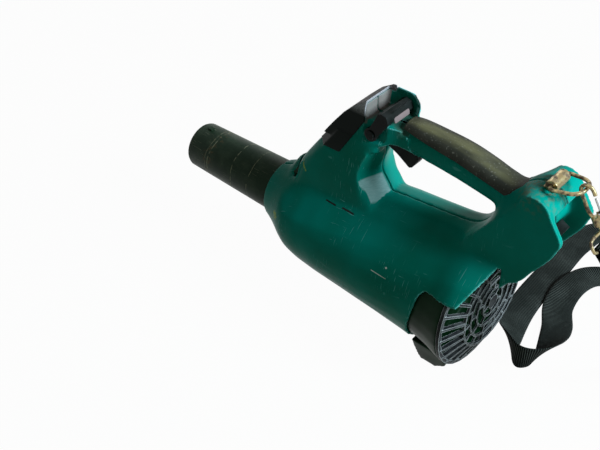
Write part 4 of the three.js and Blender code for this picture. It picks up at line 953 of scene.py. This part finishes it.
def collar_pull(x, y, z):
    """The share by which a point is drawn to the middle of the grip's section, and that middle.
    Share = (|y / w|^(2/p) + |(z - middle) / h|^(2/p))^(-p/2) outside the section, and 1 inside."""
    share = (x - FRAME_SPAN[0]) / (FRAME_SPAN[1] - FRAME_SPAN[0])
    top, low, width = (np.interp(share, GRIP_ROWS[:, 0], GRIP_ROWS[:, k]) for k in (1, 2, 3))
    grip_top = FAN_AXIS_Z + FRAME_HEIGHT * top
    grip_low = FAN_AXIS_Z + FRAME_HEIGHT * low
    middle = (grip_top + grip_low) / 2
    half = (grip_top - grip_low) / 2 - RUBBER_WALL
    wide = GRIP_HALF_WIDTH * width - RUBBER_WALL
    out = np.abs(y / wide) ** (2 / GRIP_POWER) + np.abs((z - middle) / half) ** (2 / GRIP_POWER)
    pull = np.minimum(1, out ** (-GRIP_POWER / 2))
    ahead = np.clip((x - COLLAR_X[0]) / COLLAR_FADE[0], 0, 1)
    behind = np.clip((COLLAR_X[1] - x) / COLLAR_FADE[0], 0, 1)
    above = np.clip((z - COLLAR_LOW_Z) / COLLAR_FADE[1], 0, 1)
    return 1 - ahead * behind * above * (1 - pull), middle


def slimmed_hood(points):
    """Collar points go under the rubber, |y| is held under a limit that falls from 24 to 18 mm,
    the well's walls stand at its outer limit, and the lower edge is lifted 8.5 mm."""
    x, y, z = points.T.copy()
    pull, middle = collar_pull(x, y, z)
    y = y * pull
    z = middle + (z - middle) * pull
    limit = np.interp(x, HOOD_X, HOOD_HALF_WIDTH)
    limit = np.where((z > HOOD_LOW_Z) & (x > HOOD_X[0]), limit, UNLIMITED)
    y = np.sign(y) * np.minimum(np.abs(y), limit)
    well = (x > WELL_X[0]) & (x < WELL_X[1]) & (z > WELL_Z[0]) & (z < WELL_Z[1])
    well = well & (np.abs(y) > WELL_Y[0]) & (np.abs(y) < WELL_Y[1])
    y = np.where(well, np.sign(y) * WELL_Y[1], y)
    lift = np.interp(x, LIFT_X, LIFT_SHARE) * np.interp(z, LIFT_Z, LIFT_SHARE)
    lift = lift * np.clip((np.abs(y) - WELL_Y[1]) / LIFT_FADE, 0, 1)
    return np.stack([x, y, z + HOOD_LIFT * lift], axis=1)


print("hood lifted", HOOD_LIFT, "m, well", WELL_Y[1], "m to each side")

# %% [markdown]
# The two halves get a ramp at the post's foot and a ridge ahead of the slot that locks the pipe.
# Their voxels are 1.7 mm, which keeps each half under 200,000 triangles.

# %% Body halves
HALF_VOXEL = 0.00172
# Corners of one half, in millimetres, with y measured outwards from the seam.
FOOT_RAMP = [
    (-113, 0.3, 209), (-121, 27, 206), (-107.4, 33.2, 183.9), (-98, 0.3, 189), (-124, 35, 188),
    (-122, 0.3, 172), (-124, 35.5, 172), (-98, 0.3, 172), (-104, 35.5, 172),
]
LOCK_RIDGE = [
    (-253, 0.3, 150), (-249, 9, 150), (-239, 0.3, 171), (-233, 0.3, 176.5), (-239, 6, 169),
    (-233, 7, 174.5), (-243, 17, 149), (-233, 21, 150), (-245, 0.3, 147), (-233, 0.3, 147),
    (-233, 16, 147),
]
for half, side in (("housing_left", -1), ("housing_right", 1)):
    post_foot = ((-0.1016, side * 0.036, 0.1816), 0.017)
    under_hood = ((-0.1096, side * 0.030, 0.2535), 0.012)
    lumps = [[(x * MM, side * y * MM, z * MM) for x, y, z in places] for places in (FOOT_RAMP, LOCK_RIDGE)]
    moulded(half, HALF_VOXEL, blended=(post_foot, under_hood), shape=slimmed_hood, lumps=lumps)

# %% [markdown]
# The smaller mouldings need smaller voxels, so that their thin edges survive. The hook's castings
# are softened more, because a casting has no sharp edge. The hanger's plate ends a little further
# back than in the CAD model.

# %% Smaller mouldings
PLATE_FRONT = 0.0888


def plate_trimmed(points):
    """x is held at the plate's front or behind it."""
    return np.maximum(points, [PLATE_FRONT, -1, -1])


MOULDINGS = (
    # node, voxel, rounds that relax flat places, rounds that soften all of it, shape
    ("intake_housing", 0.0014, 30, 2, None),
    ("trigger", 0.0007, 30, 2, None),
    ("cruise_lever", 0.0005, 8, 1, None),
    ("bumper_trim", 0.0006, 30, 1, None),
    ("hanger_bracket", 0.0004, 20, 2, plate_trimmed),
    ("terminal_block", 0.0006, 4, 1, None),
    ("snap_hook", 0.00036, 20, 8, None),
    ("swivel_eye", 0.00036, 20, 8, None),
    ("hook_gate", 0.0003, 20, 8, None),
)
for name, voxel, rounds, soften, shape in MOULDINGS:
    moulded(name, voxel, rounds, soften, shape=shape)

# %% [markdown]
# Wire, rubber and webbing are each a profile carried along a path. The path is a centripetal
# Catmull-Rom curve, which passes through every given point without loops or overshoot.

# %% Paths
STEPS_IN_SPAN = 30


def smooth_path(rows, count, closed=False):
    """Each span blends its four nearest rows, with knots spaced by the square root of distance.
    Rows hold x, y, z and any further columns. The result is even along its length."""
    rows = np.asarray(rows, float)
    if closed:
        padded = np.concatenate([rows[-1:], rows, rows[:2]])
    else:
        padded = np.concatenate([2 * rows[:1] - rows[1:2], rows, 2 * rows[-1:] - rows[-2:-1]])
    knots = np.sqrt(np.linalg.norm(np.diff(padded[:, :3], axis=0), axis=1))
    knots = np.concatenate([[0], np.cumsum(knots)])
    spans = len(padded) - 3
    place = np.linspace(0, spans, spans * STEPS_IN_SPAN + 1)
    span = np.minimum(place.astype(int), spans - 1)
    p0, p1, p2, p3 = (padded[span + k] for k in range(4))
    t0, t1, t2, t3 = (knots[span + k][:, None] for k in range(4))
    t = t1 + (t2 - t1) * (place - span)[:, None]
    a1 = ((t1 - t) * p0 + (t - t0) * p1) / (t1 - t0)
    a2 = ((t2 - t) * p1 + (t - t1) * p2) / (t2 - t1)
    a3 = ((t3 - t) * p2 + (t - t2) * p3) / (t3 - t2)
    b1 = ((t2 - t) * a1 + (t - t0) * a2) / (t2 - t0)
    b2 = ((t3 - t) * a2 + (t - t1) * a3) / (t3 - t1)
    fine = ((t2 - t) * b1 + (t - t1) * b2) / (t2 - t1)
    walked = np.concatenate([[0], np.cumsum(np.linalg.norm(np.diff(fine[:, :3], axis=0), axis=1))])
    even = np.linspace(0, walked[-1], count + 1 if closed else count)
    path = np.stack([np.interp(even, walked, column) for column in fine.T], axis=1)
    return (path[:-1] if closed else path), walked[-1]


def unit(vectors):
    """Each row, or a single vector, divided by its own length."""
    return vectors / np.linalg.norm(vectors, axis=-1, keepdims=True)


def directions(path, closed=False):
    """Unit steps along a path, as central differences."""
    if closed:
        return unit(np.roll(path, -1, axis=0) - np.roll(path, 1, axis=0))
    return unit(np.gradient(path, axis=0))


print("path steps in a span", STEPS_IN_SPAN)

# %% [markdown]
# Every new surface is a grid of places, one row for each step along the path. The faces are then
# the same for all of them: quads between neighbours, and a lid at each end of an open tube.

# %% Grids into meshes
def grid_faces(rows, columns, closed_rows=False):
    """Quads of a grid whose columns wrap round. The rows wrap too, or each end gets a lid."""
    r = np.arange(rows if closed_rows else rows - 1)[:, None]
    c = np.arange(columns)[None, :]
    here = r * columns
    after = (r + 1) % rows * columns
    beside = (c + 1) % columns
    quads = np.stack([here + c, here + beside, after + beside, after + c])
    faces = quads.reshape(4, -1).T.tolist()
    if not closed_rows:
        last = (rows - 1) * columns
        faces += [list(range(columns))[::-1], list(range(last, last + columns))]
    return faces


def mesh_object(name, points, faces, finish):
    """A smooth piece from an array of places and a list of faces, with its normals outwards."""
    mesh = bpy.data.meshes.new(name)
    mesh.from_pydata(points.reshape(-1, 3).tolist(), [], faces)
    work = bmesh.new()
    work.from_mesh(mesh)
    bmesh.ops.recalc_face_normals(work, faces=work.faces)
    work.to_mesh(mesh)
    work.free()
    mesh.polygons.foreach_set("use_smooth", np.ones(len(mesh.polygons), bool))
    mesh.materials.append(finish)
    made = bpy.data.objects.new(name, mesh)
    bpy.context.scene.collection.objects.link(made)
    print(name, len(mesh.polygons), "faces")
    return made


print("faces of a tube of 3 by 4, with its lids", len(grid_faces(3, 4)))

# %% [markdown]
# The rubber sleeve is worked out from the grip's own sections. Its lower edge follows the line
# where the rubber meets the teal moulding, and its rear edge slants back. Solidify gives it its
# wall, inwards, and Bevel rounds its rim.

# %% Grip cover
SLEEVE_ROWS = 180
SLEEVE_COLUMNS = 72
SLEEVE_REAR = 0.83
SLEEVE_STEPS = 300
SETTLING_ROUNDS = 4
REAR_FROM = 0.807
REAR_LOW = 0.769
REAR_HEIGHT = 0.137
REAR_RUN = 0.043
LEVEL_LIMIT = 0.95
RIM_WIDTH = 0.0006
RIM_ANGLE = math.radians(50)


def signed_power(values, power):
    """sign(v) |v|^power"""
    return np.sign(values) * np.abs(values) ** power


def grip_sleeve():
    """Place x(u, v) runs back along the handle, and turn v goes over the top from side to side.
    y = w sign(cos t) |cos t|^p and z = middle + h sign(sin t) |sin t|^p. The rear edge depends on
    the height, which depends on the place, so a few rounds settle the two."""
    columns = np.insert(GRIP_ROWS, 1, 0, axis=1)[:, [0, 1, 1, 2, 3, 4]]
    fine, _ = smooth_path(columns, SLEEVE_STEPS)
    station, top, bottom, width = fine[:, 0], fine[:, 3], fine[:, 4], fine[:, 5]
    u = np.linspace(0, 1, SLEEVE_ROWS)[:, None]
    v = np.linspace(0, 1, SLEEVE_COLUMNS)[None, :]
    place = GRIP_ROWS[0, 0] + u * (SLEEVE_REAR - GRIP_ROWS[0, 0]) + 0 * v
    for _ in range(SETTLING_ROUNDS):
        high = np.interp(place, station, top)
        low = np.interp(place, station, bottom)
        middle = (high + low) / 2
        half = (high - low) / 2
        edge = np.interp(place, RUBBER_LOW[:, 0], RUBBER_LOW[:, 1])
        level = np.clip((edge - middle) / half, -LEVEL_LIMIT, LEVEL_LIMIT)
        start = np.arcsin(signed_power(level, 1 / GRIP_POWER))
        turn = start + v * (np.pi - 2 * start)
        raised = middle + half * signed_power(np.sin(turn), GRIP_POWER)
        rear = REAR_FROM + np.clip((raised - REAR_LOW) / REAR_HEIGHT, 0, 1) * REAR_RUN
        place = GRIP_ROWS[0, 0] + u * (rear - GRIP_ROWS[0, 0])
    wide = np.interp(place, station, width) * GRIP_HALF_WIDTH
    x = FRAME_SPAN[0] + place * (FRAME_SPAN[1] - FRAME_SPAN[0])
    y = wide * signed_power(np.cos(turn), GRIP_POWER)
    z = FAN_AXIS_Z + FRAME_HEIGHT * raised
    r = np.arange(SLEEVE_ROWS - 1)[:, None] * SLEEVE_COLUMNS
    c = np.arange(SLEEVE_COLUMNS - 1)[None, :]
    quads = np.stack([r + c, r + c + 1, r + c + 1 + SLEEVE_COLUMNS, r + c + SLEEVE_COLUMNS])
    faces = quads.reshape(4, -1).T.tolist()
    made = mesh_object("grip_sleeve", np.stack([x, y, z], axis=2), faces, finish_rubber)
    crown = made.data.polygons[len(made.data.polygons) // 2 + SLEEVE_COLUMNS // 2]
    if crown.normal.z < 0:
        made.data.flip_normals()
    wall = made.modifiers.new("wall", "SOLIDIFY")
    wall.thickness = RUBBER_WALL
    wall.offset = -1
    rim = made.modifiers.new("rim", "BEVEL")
    rim.width = RIM_WIDTH
    rim.segments = 2
    rim.limit_method = "ANGLE"
    rim.angle_limit = RIM_ANGLE
    return made


sleeve = grip_sleeve()
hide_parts("grip_cover")
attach(sleeve, "root")

# %% [markdown]
# Small flat bars with rounded corners turn up in several places, so one function makes them: a
# superellipse carried along a straight line, which closes in at both ends like a cushion.

# %% Rounded bars
BAR_SIDES = 20
BAR_POWER = 2 / 3
BAR_STATIONS = np.array([0, 0.02, 0.05, 0.1, 0.5, 0.9, 0.95, 0.98, 1])
BAR_SIZES = np.array([0.55, 0.8, 0.94, 1, 1, 1, 0.94, 0.8, 0.55])


def rounded_bar(start, end, across, wide, thick):
    """Point = start + s (end - start) + a wide/2 across + b thick/2 up, where (a, b) goes round
    the superellipse |a|^3 + |b|^3 = 1, and both ends shrink over their last tenth like a dome."""
    start, end, across = (np.array(v, float) for v in (start, end, across))
    along = unit(end - start)
    across = unit(across - along * np.dot(across, along))
    up = np.cross(along, across)
    turn = np.linspace(0, 2 * np.pi, BAR_SIDES, endpoint=False)
    a = signed_power(np.cos(turn), BAR_POWER)
    b = signed_power(np.sin(turn), BAR_POWER)
    ring = (a * wide / 2)[:, None] * across + (b * thick / 2)[:, None] * up
    centres = start + BAR_STATIONS[:, None, None] * (end - start)
    points = centres + BAR_SIZES[:, None, None] * ring[None]
    return points.reshape(-1, 3), grid_faces(len(BAR_STATIONS), BAR_SIDES)


print("bar", len(BAR_STATIONS) * BAR_SIDES, "points")

# %% [markdown]
# The cruise lever's cross bar has fine ribs on top for the thumb and a pale pad let into its rear
# face. The ribs are one mesh because they never move apart, and both pieces ride on the lever.

# %% Lever pad and ribs
LEVER_PIN = np.array([-0.115, 0.0, 0.273])
BOSS_RADIUS = 0.0085
PAD_FACE = (2.66, 2.62)
PAD_SPAN = (-0.0165, 0.0105)
PAD_ACROSS = (-0.25, 0, 1)
PAD_SIZE = (0.0072, 0.0026)
RIB_FROM = (1.1, 3.56)
RIB_TO = (2.25, 3.72)
RIB_FIRST = -0.0165
RIB_STEP = 0.0024
RIB_COUNT = 13
RIB_SIZE = (0.0011, 0.0013)


def on_lever(outline, side):
    """A place given in boss radii from the lever's pin, as the lever's own outline is."""
    a, b = outline
    return LEVER_PIN + np.array([a * BOSS_RADIUS, side, b * BOSS_RADIUS])


pad_ends = [on_lever(PAD_FACE, side) for side in PAD_SPAN]
pad = mesh_object("lever_pad", *rounded_bar(*pad_ends, PAD_ACROSS, *PAD_SIZE), finish_grey)
rib_sides = [RIB_FIRST + RIB_STEP * n for n in range(RIB_COUNT)]
rib_parts = [
    rounded_bar(on_lever(RIB_FROM, side), on_lever(RIB_TO, side), (0, 1, 0), *RIB_SIZE) for side in rib_sides
]
points_in_rib = len(rib_parts[0][0])
rib_points = np.concatenate([points for points, _ in rib_parts])
rib_faces = [
    [point + n * points_in_rib for point in face]
    for n, (_, faces) in enumerate(rib_parts) for face in faces
]
ribs = mesh_object("lever_ribs", rib_points, rib_faces, finish_gloss)
for piece, slot in ((pad, "grey_plastic"), (ribs, "black_plastic")):
    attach(piece, "lever")
print("ribs", RIB_COUNT, "over", round(rib_sides[-1] - rib_sides[0], 4), "m")

# %% [markdown]
# Two narrow cooling slots run along the crease where the frame meets the barrel. Each is shown by
# its black liner, a flat rounded bar let into the teal.

# %% Slot liners
LINER_NORMAL = (-0.04, -0.73, 0.68)
LINER_SIZE = (0.0026, 0.0012)
LINERS = (
    # name, then both ends in millimetres
    ("vent_liner_1", (-165.5, -39.9, 162.3), (-149.3, -40.8, 162.3)),
    ("vent_liner_2", (-140.8, -40.2, 163.5), (-122.0, -41.1, 163.6)),
)


def liner(name, start, end):
    """A bar lying in the surface: its width is square to its own run and to the surface's normal."""
    start, end = np.array(start) * MM, np.array(end) * MM
    across = np.cross(end - start, LINER_NORMAL)
    made = mesh_object(name, *rounded_bar(start, end, across, *LINER_SIZE), finish_black)
    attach(made, "root")


for liner_row in LINERS:
    liner(*liner_row)

# %% [markdown]
# The carrying ring is one bent wire, a rounded oval that closes on itself in the hanger. Its half
# outline is given in shares of its width and length and mirrored, and a round section is carried
# along it. The snap hook and the swivel already have their mouldings.

# %% Ring
HANGER = np.array([0.096994, 0.0, 0.300999])
RING_ALONG = unit(np.array([30.0, 0.0, 5.0]))
SIDE = np.array([0.0, 1.0, 0.0])
RING_HALF_WIDTH = 0.0175
RING_LENGTH = 0.031
RING_WIRE = 0.0021
RING_STEPS = 160
RING_SIDES = 16
HALF_RING = [
    (0.8, 0), (0.94, 0.03), (1, 0.13), (0.98, 0.32), (0.94, 0.52), (0.84, 0.75), (0.6, 0.92), (0.3, 0.985),
]


def closed_wire(name, rows, radius, finish):
    """A round section carried along a closed path that lies in one plane.
    Point = path + radius (cos v * first + sin v * second)."""
    path, length = smooth_path(rows, RING_STEPS, closed=True)
    along = directions(path, closed=True)
    normal = unit(np.cross(along[0], along[len(along) // 3]))
    first = unit(np.cross(along, normal))
    second = np.cross(along, first)
    turn = np.linspace(0, 2 * np.pi, RING_SIDES, endpoint=False)
    around = np.cos(turn)[None, :, None] * first[:, None] + np.sin(turn)[None, :, None] * second[:, None]
    print(name, "length", round(length, 3), "m")
    faces = grid_faces(RING_STEPS, RING_SIDES, closed_rows=True)
    return mesh_object(name, path[:, None] + radius * around, faces, finish)


ring_shares = [(0, 0), *HALF_RING, (0, 1), *[(-a, b) for a, b in reversed(HALF_RING)]]
ring_rows = [HANGER + SIDE * RING_HALF_WIDTH * a + RING_ALONG * RING_LENGTH * b for a, b in ring_shares]
ring = closed_wire("ring_wire", ring_rows, RING_WIRE, finish_zinc)
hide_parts("carry_ring")
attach(ring, "ring")

# %% [markdown]
# The strap is 38 mm webbing, 2 mm thick with softly rounded edges. It leaves the swivel, falls
# to the ground, runs in a loop behind the blower and climbs back. Its points repeat the CAD
# model's route, so nothing moves. The width's direction is a part of each row, which lets one
# curve carry the place and the twist together, and the UV map is in metres for the weave.

# %% Webbing strips
SECTION_POINTS = 13
SECTION_POWER = 8


def webbing_strip(name, rows, count):
    """Point = path + a (width / 2) side + b (thick / 2) up, where (a, b) runs round a flat section
    with rounded edges: b = (1 - |a|^8)^(1/2) above and its negative below."""
    path, length = smooth_path(rows, count)
    centre = path[:, :3]
    along = directions(centre)
    side = unit(path[:, 3:6] - along * np.sum(path[:, 3:6] * along, axis=1)[:, None])
    up = np.cross(along, side)
    across = np.sin(np.linspace(-np.pi / 2, np.pi / 2, SECTION_POINTS))
    a = np.concatenate([across, across[-2:0:-1]])
    columns = len(a)
    b = np.sqrt(1 - np.abs(a) ** SECTION_POWER) * np.where(np.arange(columns) < SECTION_POINTS, 1, -1)
    points = (
        centre[:, None] + (a * WEB_WIDTH / 2)[None, :, None] * side[:, None]
        + (b * WEB_THICK / 2)[None, :, None] * up[:, None]
    )
    made = mesh_object(name, points, grid_faces(count, columns), finish_webbing)
    mesh = made.data
    layer = mesh.uv_layers.new(name="cloth")
    corner = np.empty(len(mesh.loops), int)
    mesh.loops.foreach_get("vertex_index", corner)
    u = (a[corner % columns] + 1) * WEB_WIDTH / 2
    v = corner // columns * (length / (count - 1))
    layer.data.foreach_set("uv", np.stack([u, v], axis=1).ravel())
    print(name, "length", round(length, 3), "m")
    return made, length


print("section points", 2 * SECTION_POINTS - 2)

# %% [markdown]
# The strap's ends lie on both sides of the sewn end, which hangs from the hook. Places on the
# hook are therefore given across and down its own slanted line.

# %% Strap
HOOK_AT = np.array([0.127572, 0.0, 0.306096])
HOOK_DOWN = unit(np.array([16.0, 0.0, -25.0]))
HOOK_ACROSS = np.array([-HOOK_DOWN[2], 0.0, HOOK_DOWN[0]])
ENDS_ASIDE = 1.15
ENDS_DOWN = (104.3, 116)
STRAP_STEPS = 1100
STRAP_ROUTE = [
    # place in millimetres, then the direction of the width
    [209, 5, 183.5, 0.1, 1, 0], [223, 22, 143.5, 0.5, 0.85, 0], [236, 52, 73.5, 0.8, 0.5, 0],
    [239, 92, 19.6, 0.95, 0.2, 0], [233, 136, 1.6, 0.95, 0.3, 0], [211, 196, 1.6, 0.85, 0.5, 0],
    [173, 252, 1.6, 0.7, 0.7, 0], [123, 300, 1.6, 0.5, 0.85, 0], [75, 324, 1.6, 0, 1, 0],
    [41, 308, 1.6, -0.8, 0.55, 0], [31, 262, 1.6, -1, 0, 0], [33, 200, 1.6, -1, 0, 0],
    [35, 140, 1.6, -1, 0, 0], [41, 92, 2.6, -1, 0, 0.1], [55, 52, 13.6, -0.85, 0, 0.5],
    [71, 26, 21.6, -0.3, 0, 1], [87, 18, 21.6, 0, 0, 1], [102, 30, 21.6, 0.3, 0, 1],
    [104, 60, 17.6, 0.75, 0, 0.65], [93, 100, 8.6, 1, 0.1, 0.2], [73, 140, 4.6, 1, 0.2, 0],
    [69, 180, 7.6, 1, 0.1, 0], [79, 216, 5.6, 0.8, -0.5, 0], [105, 236, 1.6, 0.2, -1, 0],
    [139, 220, 1.6, -0.6, -0.8, 0], [165, 182, 1.6, -0.9, -0.4, 0], [183, 136, 1.6, -0.95, -0.3, 0],
    [191, 92, 7.6, -0.95, -0.2, 0], [193, 52, 63.5, -0.8, -0.5, 0], [193, 22, 123.5, -0.5, -0.85, 0],
    [187, 5, 173.5, -0.1, -1, 0],
]


def in_hook(across, down):
    """Millimetres across and down from the ring's far end give a place in metres."""
    return HOOK_AT + (HOOK_ACROSS * across + HOOK_DOWN * down) * MM


def strap_rows():
    """The route in metres, with both of its ends lying against the sewn end below the swivel."""
    first = [[*in_hook(ENDS_ASIDE, down), 0, 1, 0] for down in ENDS_DOWN]
    last = [[*in_hook(-ENDS_ASIDE, down), 0, -1, 0] for down in reversed(ENDS_DOWN)]
    middle = [[x * MM, y * MM, z * MM, a, b, c] for x, y, z, a, b, c in STRAP_ROUTE]
    return first + middle + last


strap, strap_length = webbing_strip("shoulder_strap", strap_rows(), STRAP_STEPS)
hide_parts("strap")
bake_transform(strap)

# %% [markdown]
# The sewn end is a short strip folded over the swivel's bar, so its route goes up on one side,
# over the bar in a small loop, and down on the other. It rides on the ring with the swivel.

# %% Sewn end
SEWN_STEPS = 160
SEWN_LOOP = [
    # millimetres across and down
    (1.15, 104), (1.15, 92), (1.2, 80), (2.0, 70), (3.4, 63.5), (3.4, 59), (2.3, 57), (0, 56.4),
    (-2.3, 57), (-3.4, 59), (-3.4, 63.5), (-2.0, 70), (-1.2, 80), (-1.15, 92), (-1.15, 104),
]
sewn_rows = [[*in_hook(across, down), 0, 1, 0] for across, down in SEWN_LOOP]
sewn_end, sewn_length = webbing_strip("strap_sewn_end", sewn_rows, SEWN_STEPS)
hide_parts("strap_end")
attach(sewn_end, "ring")

# %% [markdown]
# Cloth may stand a little outside the CAD model.
